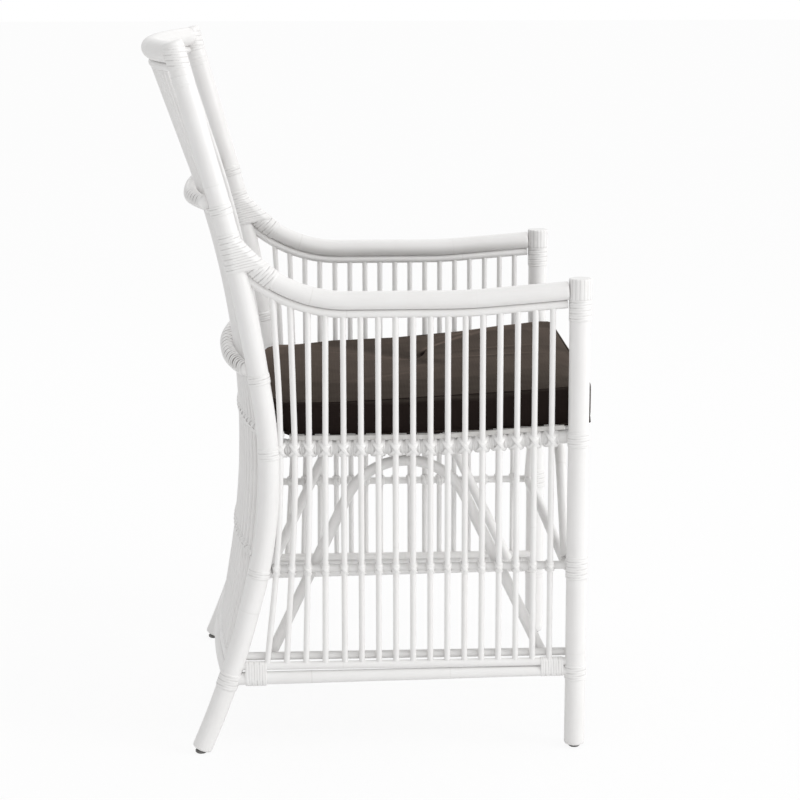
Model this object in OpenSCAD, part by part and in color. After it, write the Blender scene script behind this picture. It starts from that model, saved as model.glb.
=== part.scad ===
// Rattan armchair: two spindled side frames, a bowed spindle back, arches under the seat
// and a loose box cushion on a slatted deck.
// Millimetres, +Z up, the sitter faces -Y. The origin is on the floor under the middle.
// Side views are drawn as [distance behind the front leg, height], and "left" is the sitter's left, at +X.

/* [Poles] */
// Distance between the axes of the two side frames
side_gap = 528; // [480:1:600]
// Diameter of the leg poles
leg_d = 28; // [24:0.5:32]
// Diameter of the arm poles
arm_d = 25; // [20:0.5:28]
// Diameter of the pole along the top of the back
top_rail_d = 28; // [22:0.5:32]
// Diameter of the rails at seat level
seat_rail_d = 19; // [16:0.5:22]
// Diameter of the thin rails: liners, mid rails and inner bottom rails
thin_rail_d = 11; // [9:0.5:13]
// Diameter of the bottom side rails at the rear leg
bottom_rail_rear_d = 18; // [15:0.5:20]
// Diameter of the bottom side rails at the front leg
bottom_rail_front_d = 14; // [12:0.5:16]
// Diameter of the arches and of the front stretcher
brace_d = 15; // [12:0.5:17]
// Diameter of the bare poles of the two wound rails of the back
bow_core_d = 14; // [10:0.5:16]

/* [Side profile] */
// Height of the front leg's end, under its cap
front_leg_top = 648; // [620:1:680]
// Where the rear pole meets the floor, behind the front leg
rear_foot_y = 513; // [490:1:530]
// Height of the splay's bend in the rear pole
knee_z = 98; // [80:1:120]
// Place of the splay's bend
knee_y = 470; // [455:1:485]
// Height of the waist, where the rear pole turns from splay to lean
waist_z = 356; // [330:1:380]
// Place of the waist
waist_y = 401; // [385:1:415]
// Height of the shoulder, where the lean grows
shoulder_z = 647; // [620:1:680]
// Place of the shoulder
shoulder_y = 446; // [435:1:455]
// Height of the rear pole's upper end
back_top_z = 960; // [900:1:1000]
// Place of the rear pole's upper end
back_top_y = 532; // [510:1:550]
// Radius of the bends in the rear pole
post_bend = 2000; // [600:50:2500]

/* [Arms] */
// Height of the arm pole at the front leg
arm_front_z = 634; // [615:1:640]
// Height of the arm pole along its level stretch
arm_dip_z = 622; // [605:1:630]
// Where the level stretch starts, behind the front leg
arm_dip_front_y = 150; // [110:1:190]
// Where the level stretch starts to rise
arm_dip_rear_y = 347; // [320:1:360]
// Middle of the rise, behind the front leg
arm_rise_y = 418; // [405:1:425]
// Middle of the rise, height
arm_rise_z = 653; // [645:1:665]
// Radius of the bends in the arm
arm_bend = 230; // [120:10:300]

/* [Rails] */
// Height of the bottom side rails at the rear leg
bottom_rail_z = 104; // [90:1:125]
// How much higher the bottom side rails are at the front leg
bottom_rail_rise = 5; // [0:1:10]
// Height of the mid side rails
mid_rail_z = 255; // [235:1:275]
// Height of the seat side rails at the rear
seat_rail_z = 421; // [400:1:440]
// How much higher the seat side rails are at the front
seat_rail_rise = 12; // [0:1:18]
// Where the seat side rails start to rise
seat_rail_bend_y = 190; // [120:1:240]

/* [Spindles] */
// Diameter of the spindles
spindle_d = 8; // [6:0.5:9]
// Number of spindles in a side
side_spindles = 17; // [15:1:17]
// Place of the first side spindle, behind the front leg
first_spindle_y = 36; // [32:1:42]
// Spacing of the side spindles
spindle_pitch = 23.2; // [22:0.1:23.5]
// How many spindles next to the rear pole bend along with it
bent_spindles = 4; // [3:1:5]
// How far the last of them bends forward at its middle
spindle_bend_in = 14; // [5:1:18]
// How far the foot of the last of them spreads to the rear
spindle_spread = 13; // [8:1:16]
// Number of spindles in the back
back_spindles = 21; // [17:2:21]
// How far the back bows rearward under its top rail
back_bow = 40; // [30:1:48]
// How far the back bows rearward at the shoulders of its spindles
back_shoulder_bow = 26; // [18:1:40]
// How far the back bows rearward at the waists of its spindles
back_waist_bow = 46; // [36:1:50]
// How far the foot of the back bows rearward
back_foot_bow = 18; // [8:1:24]
// Spacing of the back spindles
back_pitch = 22.7; // [20:0.1:23]

/* [Back] */
// Height of the upper wound rail, measured on the rear poles
upper_bow_z = 757; // [720:1:800]
// Height of the lower wound rail, measured on the rear poles
lower_bow_z = 532; // [510:1:570]
// How far the top rail stands behind the spindles
top_rail_set = 4; // [2:0.5:5]
// How far the bow of the top rail tips down to the rear, in degrees
top_rail_tip = 3; // [0:0.5:16]

/* [Braces] */
// Distance between the feet of a side arch
arch_span = 372; // [340:1:390]
// Middle of a side arch, behind the front leg
arch_mid_y = 230; // [215:1:240]
// Length of the nearly level crown of a side arch
arch_crown = 112; // [80:1:150]
// Height of the crown of a side arch
arch_top_z = 400; // [385:1:403]
// Height of the feet of a side arch
arch_foot_z = 128; // [118:1:150]
// Radius of the bends in the arches
arch_bend = 95; // [60:5:120]
// How far the front stretcher and the front arch stand behind the front legs
stretcher_y = 12; // [10:0.5:13]
// Distance between the shoulders of the front arch
front_arch_crown = 300; // [220:5:340]

/* [Bindings] */
// Thickness of the peel that binds the joints
peel_t = 1.6; // [1:0.1:2]
// Length of a lashing along its rail
lash_l = 11; // [8:0.5:11.5]
// Height of a lashing's band round its spindle
lash_band = 9; // [6:0.5:12]
// Length of the wound sleeve at each end of a bottom side rail
sleeve_l = 24; // [18:1:30]
// Length of the bindings under the top rail
top_band_l = 14; // [10:1:18]
// Loops of peel on each wound rail
wound_loops = 22; // [14:1:24]

/* [Seat] */
// Thickness of the seat slats
slat_t = 6; // [4:0.5:8]
// Width of a seat slat
slat_w = 20; // [15:1:26]
// Number of seat slats
slats = 11; // [8:1:12]
// Width of the edge strips beside the slats
edge_strip_w = 5; // [3:0.5:6]
// Width of the cushion
cushion_w = 492; // [460:1:494]
// Thickness of the cushion at its front edge
cushion_t = 55; // [40:1:70]
// How much thinner the cushion is at its rear edge
cushion_fall = 7; // [0:0.5:12]
// How far the crown of the cushion rises over its edges
cushion_crown = 7; // [2:0.5:14]
// How far the front of the cushion stands out in front of the front legs' axes
cushion_overhang = 22; // [16:1:30]
// Gap between the cushion and the rail behind it
cushion_gap = 3; // [2:0.5:8]
// How far the upper rear edge of the cushion stands out over that rail
cushion_rake = 14; // [0:1:16]
// How far the cushion's sides pull in between its corners
cushion_pull = 4; // [0:0.5:6]

/* [Fixings] */
// Diameter of the glides under the feet
glide_d = 16; // [12:0.5:20]
// Height of the glides
glide_h = 4; // [3:0.5:6]
// Diameter of the shank of a joint screw
screw_d = 4; // [3:0.5:5]
// Diameter of the head of a joint screw
screw_head_d = 8; // [7:0.5:9]
// How far a joint screw bites into the pole behind the first one
screw_bite = 26; // [18:1:30]

/* [Hidden] */
$fn = 40;
side_x = side_gap / 2;
leg_r = leg_d / 2;
spindle_r = spindle_d / 2;
thin_r = thin_rail_d / 2;
seat_rail_r = seat_rail_d / 2;
brace_r = brace_d / 2;
bow_d = bow_core_d + 2 * peel_t;
// Air between pieces that lie beside each other without being joined
air = 0.3;
// Half of the distance along X or Y that any slab reaches
far = 1000;

// Axes of the pieces that lie inside the row of spindles, measured from the side frame's own axis
seat_rail_in = spindle_r + seat_rail_r + air;
thin_rail_in = spindle_r + thin_r + air;
arch_in = spindle_r + thin_rail_d + peel_t + brace_r + air;

// Paths are lists of [place, height, bend radius]
post_path = [[rear_foot_y, 0, 0], [knee_y, knee_z, post_bend], [waist_y, waist_z, post_bend],
             [shoulder_y, shoulder_z, post_bend], [back_top_y, back_top_z, 0]];
arm_end_run = 75;
arm_end_rise = 48;
arm_path = [[0, arm_front_z, 0], [arm_dip_front_y, arm_dip_z, 3 * arm_bend],
            [arm_dip_rear_y, arm_dip_z, arm_bend], [arm_rise_y, arm_rise_z, arm_bend],
            [arm_rise_y + arm_end_run * cos(arm_end_rise), arm_rise_z + arm_end_run * sin(arm_end_rise), 0]];
liner_drop = (arm_d + thin_rail_d) / 2;
seat_rail_front_z = seat_rail_z + seat_rail_rise;
seat_rail_rear_y = reach(post_path, seat_rail_z);
seat_rail_path = [[seat_rail_r + air, seat_rail_front_z, 0], [seat_rail_bend_y, seat_rail_z, 900],
                  [seat_rail_rear_y, seat_rail_z, 0]];
bottom_front_z = bottom_rail_z + bottom_rail_rise;
bottom_rear_y = reach(post_path, bottom_rail_z);
// The liner lies on the thicker, rear end of the bottom rail and runs level
bottom_liner_z = max(bottom_rail_z + bottom_rail_rear_d / 2, bottom_front_z + bottom_rail_front_d / 2) + thin_r;
inner_rail_z = bottom_liner_z + thin_rail_d;
mid_rail_rear_y = reach(post_path, mid_rail_z);

// Seen from above, each level of the back is an arc through the axes of both rear poles. The rails at
// its foot are bent so slightly that they are swept through a high corner point.
foot_path = [[-side_x, 0, 0], [0, 2 * back_foot_bow, 10 * post_bend], [side_x, 0, 0]];
foot_r = bend_r(foot_path, 1);
foot_rise = bend_centre(foot_path, 1)[1] + foot_r;
back_bottom_rail_d = (bottom_rail_rear_d + bottom_rail_front_d) / 2;
back_foot_liner_z = bottom_rail_z + back_bottom_rail_d / 2 + thin_r;
top_end_z = back_top_z - top_rail_d / 2;
top_end_y = reach(post_path, top_end_z);
back_seat_rail_z = seat_rail_z + seat_rail_d + peel_t;
back_mid_rail_z = mid_rail_z + thin_rail_d + peel_t;
back_liner_drop = (top_rail_d + thin_rail_d) / 2;

// The slats lie on the lashings of the seat rails, and the cushion on the slats
deck_lift = seat_rail_r + peel_t;
// The front stretcher is level with the mid side rails, which end on it
stretcher_z = mid_rail_z;
slat_front_y = 34;
slat_rear_y = seat_rail_rear_y - leg_r - 24;
front_rail_z = seat_rail_front_z;

cushion_front = -cushion_overhang;
cushion_rear_y = reach(post_path, back_seat_rail_z) - seat_rail_d - spindle_r - cushion_gap;
cushion_corner_y = cushion_rear_y + bow_at(cushion_w / 2, row_rise(back_seat_rail_z));
cushion_mid_y = cushion_rear_y + row_rise(back_seat_rail_z);

// The chair's front and rear ends, halfway between which the origin lies
front_end = min(cushion_front, -leg_r - peel_t);
rear_end = top_end_y + (back_bow + top_rail_set) * cos(top_rail_tip) + top_rail_d / 2;
mid_y = (front_end + rear_end) / 2;

// Direction, distance and turn along a path
function heading(p, q) = atan2(q[1] - p[1], q[0] - p[0]);
function span(p, q) = norm([q[0] - p[0], q[1] - p[1]]);
function turn(path, i) =
    let (t = heading(path[i], path[i + 1]) - heading(path[i - 1], path[i]))
    t > 180 ? t - 360 : t < -180 ? t + 360 : t;

// Room for a bend: half of a stretch that two bends share, or nearly all of an end stretch
function room(path, i) =
    min(span(path[i - 1], path[i]) * (i == 1 ? 0.95 : 0.5),
        span(path[i], path[i + 1]) * (i == len(path) - 2 ? 0.95 : 0.5));
function bend_r(path, i) = min(path[i][2], room(path, i) / tan(abs(turn(path, i)) / 2));
function run_in(path, i) =
    i == 0 || i == len(path) - 1 ? 0 : bend_r(path, i) * tan(abs(turn(path, i)) / 2);
function toward(p, q, t) = [p[0] + (q[0] - p[0]) * t / span(p, q), p[1] + (q[1] - p[1]) * t / span(p, q)];

// Centre of the bend at corner i
function bend_centre(path, i) =
    let (s = toward(path[i], path[i - 1], run_in(path, i)), a = heading(path[i - 1], path[i]),
         side = sign(turn(path, i)), r = bend_r(path, i))
    [s[0] - side * r * sin(a), s[1] + side * r * cos(a)];

// Place of a rising path at a height
function reach(path, h, i = 1) =
    i > len(path) - 2 ? line_at(path[i - 1], path[i], h) :
    h <= toward(path[i], path[i - 1], run_in(path, i))[1] ? line_at(path[i - 1], path[i], h) :
    h <= toward(path[i], path[i + 1], run_in(path, i))[1] ?
        let (c = bend_centre(path, i), r = bend_r(path, i))
        c[0] + sign(turn(path, i)) * sqrt(r * r - (h - c[1]) * (h - c[1])) :
    reach(path, h, i + 1);
function line_at(p, q, h) = p[0] + (q[0] - p[0]) * (h - p[1]) / (q[1] - p[1]);

// Lean of a rising path at a height, in degrees to the rear
function lean(path, h) = atan((reach(path, h + 1) - reach(path, h - 1)) / 2);

// Radius of the arc through the axes of both rear poles with the rise given, and how far it lies to the
// rear of them at a distance x from the middle
function row_r(rise) = (side_x * side_x + rise * rise) / (2 * rise);
function bow_at(x, rise) = sqrt(pow(row_r(rise), 2) - x * x) - (row_r(rise) - rise);

// Height of a seat side rail at a place behind the front leg
function seat_rail_at(y) =
    y > seat_rail_bend_y ? seat_rail_z :
    seat_rail_z + seat_rail_rise * (seat_rail_bend_y - y) / seat_rail_bend_y;

// Points along a path with its bends rounded: [place, height, heading], a new one every few degrees
function bend_points(path, i, step) =
    let (t = turn(path, i), c = bend_centre(path, i), r = bend_r(path, i), n = max(1, ceil(abs(t) / step)),
         a = heading(path[i - 1], path[i]), side = sign(t))
    [for (k = [0 : n]) let (h = a + t * k / n) [c[0] + side * r * sin(h), c[1] - side * r * cos(h), h]];
function along(path, step) =
    let (last = len(path) - 1, start = path[0], end = path[last])
    concat([[start[0], start[1], heading(start, path[1])]],
           [for (i = [1 : 1 : last - 1]) each bend_points(path, i, step)],
           [[end[0], end[1], heading(path[last - 1], end)]]);

// The point of such a list at a place, as [height, heading]
function point_at(points, y, i = 0) =
    i > len(points) - 3 || y < points[i + 1][0] ?
        let (p = points[i], q = points[i + 1], t = (y - p[0]) / (q[0] - p[0]))
        [p[1] + (q[1] - p[1]) * t, heading(p, q)] :
    point_at(points, y, i + 1);

// A round pole along a path, drawn in its own plane. A shift moves all of it to the left of its path.
module pole(path, d, shift = 0, sides = 16, step = 3) {
    if (len(path) == 2) stub(path[0], path[1], d);
    else {
        points = along(path, step);
        n = len(points) - 1;
        // Half of a step about the axis puts a flat at the top
        rings = [for (p = points, k = [0 : sides - 1])
            let (a = 360 * (k + 0.5) / sides, out = shift + d / 2 * cos(a))
            [p[0] - out * sin(p[2]), p[1] + out * cos(p[2]), d / 2 * sin(a)]];
        skin = [for (i = [0 : n - 1], k = [0 : sides - 1])
            let (a = sides * i + k, b = sides * i + (k + 1) % sides)
            each [[a, a + sides, b], [b, a + sides, b + sides]]];
        ends = [[for (k = [0 : sides - 1]) k], [for (k = [sides - 1 : -1 : 0]) sides * n + k]];
        polyhedron(points = rings, faces = concat(skin, ends), convexity = 6);
    }
}

// A straight round pole between two points of a side or front view
module stub(p, q, d) {
    translate([p[0], p[1], 0])
        rotate([0, 0, heading(p, q)])
            rotate([0, 90, 0])
                cylinder(h = span(p, q), d = d);
}

// Stands a side view up at a distance x from the middle
module side_view(x) {
    translate([x, -mid_y, 0])
        rotate([90, 0, 90])
            children();
}

// Draws the left one of a pair, or its mirror image for the right one
module on_side(right) {
    if (right) mirror([1, 0, 0]) children();
    else children();
}

// An upright slab that keeps the heights from low to high
module band(low, high) {
    translate([-far, -far, low]) cube([2 * far, 2 * far, high - low]);
}

// A slab across a side frame that keeps the places from front to rear
module slice(front, rear) {
    translate([-far, front - mid_y, -far]) cube([2 * far, rear - front, 2 * far]);
}

// Legs and arms

module rear_pole(d) {
    side_view(side_x) pole(post_path, d);
}

module rear_leg(right) {
    color("white") on_side(right) difference() {
        rear_pole(leg_d);
        band(-far, glide_h);
        side_view(side_x) rear_screws(hole = true);
    }
}

// The rear pole near a height, straight: the shape that cuts the ends of the poles that meet it
module rear_pole_near(h, d = leg_d + 2 * air, half = 70) {
    y = reach(post_path, h);
    tip = lean(post_path, h);
    side_view(side_x)
        stub([y - half * sin(tip), h - half * cos(tip)], [y + half * sin(tip), h + half * cos(tip)], d);
}

module rear_poles_near(h, d = leg_d + 2 * air) {
    for (right = [false, true]) on_side(right) rear_pole_near(h, d);
}

module front_pole(d) {
    translate([side_x, -mid_y, glide_h]) cylinder(h = front_leg_top - glide_h, d = d);
}

module front_leg(right) {
    chamfer = 2;
    color("white") on_side(right) difference() {
        intersection() {
            front_pole(leg_d);
            translate([side_x, -mid_y, glide_h])
                cylinder(h = front_leg_top, d1 = leg_d - 2 * chamfer, d2 = leg_d + 2 * (front_leg_top - chamfer));
        }
        side_view(side_x) front_screws(hole = true);
        front_rail_screw(hole = true);
    }
}

// Where the arm's axis meets the rear pole's
arm_joint_z = arm_rise_z + (reach(post_path, arm_rise_z + 36) - arm_rise_y) * tan(arm_end_rise);

module arm_pole(d) {
    side_view(side_x) pole(arm_path, d, step = 4);
}

module arm(right) {
    color("white") on_side(right) difference() {
        arm_pole(arm_d);
        front_pole(leg_d);
        slice(-far, 0);
        rear_pole_near(arm_joint_z);
        behind_rear_pole();
        side_view(side_x) front_screws(hole = true);
    }
}

// Everything behind the axis of the rear pole, where the arm and its liner end
module behind_rear_pole() {
    tip = lean(post_path, arm_joint_z);
    side_view(side_x)
        translate([reach(post_path, arm_joint_z), arm_joint_z, -100])
            rotate([0, 0, -tip])
                translate([0, -200, 0])
                    cube([200, 400, 200]);
}

module liner_pole(d) {
    side_view(side_x) pole(arm_path, d, shift = -liner_drop, sides = 10, step = 4);
}

module arm_liner(right) {
    color("white") on_side(right) difference() {
        liner_pole(thin_rail_d);
        front_pole(leg_d);
        slice(-far, 0);
        rear_pole_near(arm_joint_z);
        behind_rear_pole();
    }
}

// Spindles of the sides

arm_points = along(arm_path, 4);
liner_points = [for (p = arm_points) [p[0] + liner_drop * sin(p[2]), p[1] - liner_drop * cos(p[2]), p[2]]];

function bent_share(i) = max(0, i - (side_spindles - 1 - bent_spindles)) / bent_spindles;
function spindle_y(i) = first_spindle_y + spindle_pitch * i;
function spindle_path(i) =
    let (y = spindle_y(i), share = bent_share(i), top = point_at(liner_points, y)[0],
         foot = y + spindle_spread * share)
    share == 0 ? [[y, bottom_liner_z, 0], [y, top, 0]] :
    [[foot, bottom_liner_z, 0],
     [y - 2 * spindle_bend_in * pow(share, 2) + spindle_spread * share, (bottom_liner_z + top) / 2, post_bend],
     [y, top, 0]];
function spindle_at(i, h) = reach(spindle_path(i), h);

module side_spindle(i, d = spindle_d) {
    side_view(side_x) pole(spindle_path(i), d, sides = 10, step = 5, $fn = 24);
}

module side_spindles(right) {
    color("white") on_side(right)
        for (i = [0 : side_spindles - 1])
            difference() {
                side_spindle(i);
                side_view(side_x) {
                    bottom_liner_pole();
                    at = point_at(liner_points, spindle_y(i));
                    translate([spindle_y(i), at[0], 0])
                        rotate([0, 0, at[1]]) stub([-20, 0], [20, 0], thin_rail_d);
                }
            }
}

// Rails of the sides

module seat_side_rail(right) {
    color("white") on_side(right) difference() {
        side_view(side_x - seat_rail_in) pole(seat_rail_path, seat_rail_d, step = 2);
        front_pole(leg_d + 2 * air);
        rear_pole_near(seat_rail_z);
    }
}

// The front and the rear stretch of the seat side rail, straight
module seat_rail_front(d) {
    start = seat_rail_r - 1.5;
    side_view(side_x - seat_rail_in)
        stub([start, seat_rail_at(start)], [seat_rail_bend_y, seat_rail_z], d);
}

module seat_rail_rear(d) {
    side_view(side_x - seat_rail_in)
        stub([seat_rail_bend_y, seat_rail_z], [seat_rail_rear_y, seat_rail_z], d);
}

module mid_side_pole(d) {
    path = [[0, mid_rail_z, 0], [mid_rail_rear_y, mid_rail_z, 0]];
    side_view(side_x - thin_rail_in) pole(path, d);
}

module mid_side_rail(right) {
    color("white") on_side(right) difference() {
        mid_side_pole(thin_rail_d);
        stretcher_pole(brace_d + 2 * air, side_x + leg_r);
        slice(-far, stretcher_y);
        rear_pole_near(mid_rail_z);
    }
}

module bottom_side_rail(right) {
    tilt = atan(bottom_rail_rise / bottom_rear_y);
    color("white") on_side(right) difference() {
        side_view(side_x)
            translate([0, bottom_front_z, 0])
                rotate([0, 0, -tilt])
                    rotate([0, 90, 0])
                        cylinder(h = bottom_rear_y / cos(tilt), d1 = bottom_rail_front_d, d2 = bottom_rail_rear_d);
        front_pole(leg_d);
        rear_pole_near(bottom_rail_z);
        side_view(side_x) bottom_liner_pole();
        side_view(side_x) front_screws(hole = true);
        side_view(side_x) rear_screws(hole = true);
    }
}

module bottom_liner_pole() {
    stub([0, bottom_liner_z], [reach(post_path, bottom_liner_z), bottom_liner_z], thin_rail_d);
}

module bottom_liner(right) {
    color("white") on_side(right) difference() {
        side_view(side_x) bottom_liner_pole();
        front_pole(leg_d);
        rear_pole_near(bottom_liner_z);
    }
}

module inner_bottom_rail(right) {
    path = [[0, inner_rail_z, 0], [reach(post_path, inner_rail_z), inner_rail_z, 0]];
    color("white") on_side(right) difference() {
        side_view(side_x - thin_rail_in) pole(path, thin_rail_d);
        front_pole(leg_d);
        slice(-far, 0);
        rear_pole_near(inner_rail_z);
    }
}

// Arches and the front

function arch_path() =
    let (foot = arch_span / 2, crown = arch_crown / 2)
    [[arch_mid_y - foot, arch_foot_z, 0], [arch_mid_y - crown, arch_top_z, arch_bend],
     [arch_mid_y + crown, arch_top_z, arch_bend], [arch_mid_y + foot, arch_foot_z, 0]];

module side_arch(right) {
    color("white") on_side(right)
        side_view(side_x - arch_in) pole(arch_path(), brace_d, sides = 12, step = 9);
}

// Stands a front view up at a distance y behind the front legs
module front_view(y) {
    translate([0, y - mid_y, 0])
        rotate([90, 0, 0])
            children();
}

module front_poles_both() {
    front_pole(leg_d);
    mirror([1, 0, 0]) front_pole(leg_d);
}

module front_seat_rail() {
    color("white") difference() {
        front_view(0) pole([[-side_x, front_rail_z, 0], [side_x, front_rail_z, 0]], seat_rail_d);
        front_poles_both();
        for (right = [false, true]) on_side(right) front_rail_screw(hole = true);
    }
}

module stretcher_pole(d, half = side_x - 4) {
    front_view(stretcher_y) stub([-half, stretcher_z], [half, stretcher_z], d);
}

module front_stretcher() {
    color("white") difference() {
        stretcher_pole(brace_d);
        for (x = [-side_x, side_x])
            translate([x, -mid_y, stretcher_z]) cylinder(h = 2 * leg_d, d = leg_d + air, center = true);
    }
}

module front_arch() {
    foot = side_x - leg_r - brace_r - air;
    foot_z = stretcher_z + brace_r + air;
    top_z = front_rail_z - seat_rail_r - brace_r - air;
    crown = front_arch_crown / 2;
    path = [[-foot, foot_z, 0], [-crown, top_z, arch_bend], [crown, top_z, arch_bend], [foot, foot_z, 0]];
    color("white") front_view(stretcher_y) pole(path, brace_d, sides = 12, step = 9);
}

// The back: arcs that share one centre line, each square to the rear poles where it meets them

// Stands a level bow up on the rear poles at a height, tipped by the lean given. Its own plane has
// x across the chair and y to the rear, from the poles' axes.
module on_back(h, tip) {
    translate([0, reach(post_path, h) - mid_y, h])
        rotate([-tip, 0, 0])
            children();
}

// How far the row of back spindles stands behind the rear poles, in the middle and at a height
function row_rise(h) = reach(back_spindle_path(0), h) - reach(post_path, h);

// Part of a ring through both rear poles: it bows rearward by the rise, and all of it is set back further
module bow(d, rise, set = 0) {
    r = row_r(rise);
    half = asin(side_x / (r + set));
    translate([0, rise - r, 0])
        rotate([0, 0, 90 - half])
            rotate_extrude(angle = 2 * half, $fn = 200)
                translate([r + set, 0])
                    circle(d = d);
}

module top_bow(d, drop = 0) {
    on_back(top_end_z, top_rail_tip)
        translate([0, 0, -drop]) bow(d, back_bow, top_rail_set);
}

module top_rail() {
    color("white") difference() {
        top_bow(top_rail_d);
        rear_poles_near(top_end_z);
    }
}

module top_liner() {
    color("white") difference() {
        top_bow(thin_rail_d, back_liner_drop);
        rear_poles_near(top_end_z);
    }
}

// How far a spindle stands behind the arc through the pole axes and the row's middle
function behind_arc(x, h) = reach(back_spindle_path(x), h) - reach(post_path, h) - bow_at(x, row_rise(h));

// A wound rail follows the row all along: its arc is set back at the poles and rises that much less
function row_set(h) =
    let (x = back_spindle_x(0)) max(0, behind_arc(x, h)) / (1 - bow_at(x, row_rise(h)) / row_rise(h));
function bow_tip(h) = lean(post_path, h);
function bow_rise(h) = (row_rise(h) - row_set(h)) * cos(bow_tip(h));
function bow_set(h) = spindle_r + bow_d / 2 + air + row_set(h) * cos(bow_tip(h));

module bow_rail(h) {
    color("white") difference() {
        on_back(h, bow_tip(h)) bow(bow_core_d, bow_rise(h), bow_set(h));
        rear_poles_near(h);
    }
}

module back_rail(h, d) {
    color("white") difference() {
        on_back(h, 0) bow(d, row_rise(h), -spindle_r - d / 2 - air);
        rear_poles_near(h);
    }
}

// A rail at the foot of the back
module foot_rail(h, d) {
    color("white") difference() {
        on_back(h, 0) pole(foot_path, d, sides = 12, step = 1);
        rear_poles_near(h);
    }
}

function back_spindle_x(i) = (i - (back_spindles - 1) / 2) * back_pitch;
function back_spindle_path(x) =
    let (foot = foot_rise - foot_r + sqrt(foot_r * foot_r - x * x), out = bow_at(x, back_bow) + top_rail_set,
         c = cos(top_rail_tip), s = sin(top_rail_tip))
    [[reach(post_path, back_foot_liner_z) + foot, back_foot_liner_z, 0],
     [waist_y + bow_at(x, back_waist_bow), waist_z, post_bend],
     [shoulder_y + bow_at(x, back_shoulder_bow), shoulder_z, post_bend],
     [top_end_y + out * c - back_liner_drop * s, top_end_z - out * s - back_liner_drop * c, 0]];

module back_spindles_row() {
    color("white")
        for (i = [0 : back_spindles - 1])
            let (x = back_spindle_x(i), path = back_spindle_path(x), top = path[3])
            difference() {
                side_view(x) pole(path, spindle_d, sides = 8, step = 5);
                translate([x, path[0][0] - mid_y, back_foot_liner_z])
                    rotate([0, 0, -asin(x / foot_r)]) across(thin_rail_d);
                translate([x, top[0] - mid_y, top[1]])
                    rotate([-top_rail_tip, 0, 0])
                        rotate([0, 0, -asin(x / (row_r(back_bow) + top_rail_set))]) across(thin_rail_d);
            }
}

// A short pole along X, centred
module across(d, length = 30) {
    rotate([0, 90, 0]) cylinder(h = length, d = d, center = true);
}

// Peel wound on a bow, as one strip with slanted edges. The strip's section is a flat hexagon whose
// corners are [distance along the bow, distance from the bow's axis].
wound_steps = 12;
wound_air = 1.6;
wound_seat = bow_core_d / 2 / cos(180 / wound_steps) + 0.05;
wound_reach = side_x - leg_r - 9;

// A bow's [radius, rise of its middle, half of its wound stretch, spacing of the loops]
function wound_bow(h) =
    let (r = row_r(bow_rise(h)) + bow_set(h), half = asin(wound_reach / r) * PI / 180 * r)
    [r, bow_rise(h) + bow_set(h), half, 2 * half / (wound_loops + 1)];
function wound_section(pitch) =
    let (w = (pitch - wound_air) / 2, low = wound_seat, high = wound_seat + peel_t, slope = 0.9)
    [[-w + slope, low], [w - slope, low], [w, low + peel_t / 2], [w - slope, high], [-w + slope, high],
     [-w, low + peel_t / 2]];
function wound_point(b, run, out, phi) =
    let (a = 90 - run / b[0] * 180 / PI, q = b[0] + out * cos(phi))
    [q * cos(a), b[1] - b[0] + q * sin(a), out * sin(phi)];
function wound_ring(b, section, i) =
    [for (k = section) wound_point(b, b[3] * (i / wound_steps + 0.5) - b[2] + k[0], k[1], i * 360 / wound_steps)];

module winding(h) {
    b = wound_bow(h);
    section = wound_section(b[3]);
    n = wound_steps * wound_loops;
    rings = [for (i = [0 : n]) wound_ring(b, section, i)];
    points = [for (ring = rings) each ring];
    skin = [for (i = [0 : n - 1], k = [0 : 5])
        let (a = 6 * i + k, b = 6 * i + (k + 1) % 6) each [[a, a + 6, b], [b, a + 6, b + 6]]];
    ends = [[for (k = [0 : 5]) k], [for (k = [5 : -1 : 0]) 6 * n + k]];
    // Least distance between the facing edges of neighbouring loops, over all rings
    gap = min([for (i = [0 : n - wound_steps]) norm(rings[i][2] - rings[i + wound_steps][5])]);
    echo(str("least gap between the loops of a winding: ", gap));
    color("white")
        on_back(h, bow_tip(h))
            polyhedron(points = points, faces = concat(skin, ends), convexity = 10);
}

// Seat

function slat_y(i) = slat_front_y + (slat_rear_y - slat_front_y) * i / (slats - 1);

module seat_slats() {
    half = side_x - seat_rail_in - seat_rail_r / 2 + edge_strip_w - air;
    color("white")
        for (i = [0 : slats - 1])
            translate([-half, slat_y(i) - slat_w / 2 - mid_y, seat_rail_at(slat_y(i) + slat_w / 2) + deck_lift + air])
                cube([2 * half, slat_w, slat_t - air]);
}

module seat_edge_strips() {
    inner = side_x - seat_rail_in - seat_rail_r / 2 + edge_strip_w;
    path = [[leg_r + 4, seat_rail_at(leg_r + 4), 0], [seat_rail_bend_y, seat_rail_z, 0],
            [slat_rear_y + slat_w / 2, seat_rail_z, 0]];
    outline = [for (p = path) [p[0], p[1] + deck_lift + air],
               for (i = [2 : -1 : 0]) [path[i][0], path[i][1] + deck_lift + slat_t]];
    color("white")
        for (right = [false, true]) on_side(right)
            side_view(inner) linear_extrude(edge_strip_w) polygon(outline);
}

// The cushion is a stack of rings round its outline. Each ring is [inset, height], and a point of the
// outline is a superellipse whose sides pull in and whose rear edge follows the back.
cushion_steps = 48;
cushion_mid = (cushion_front + cushion_corner_y) / 2;
cushion_half_l = (cushion_corner_y - cushion_front) / 2;
cushion_edge = 9;

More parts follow.
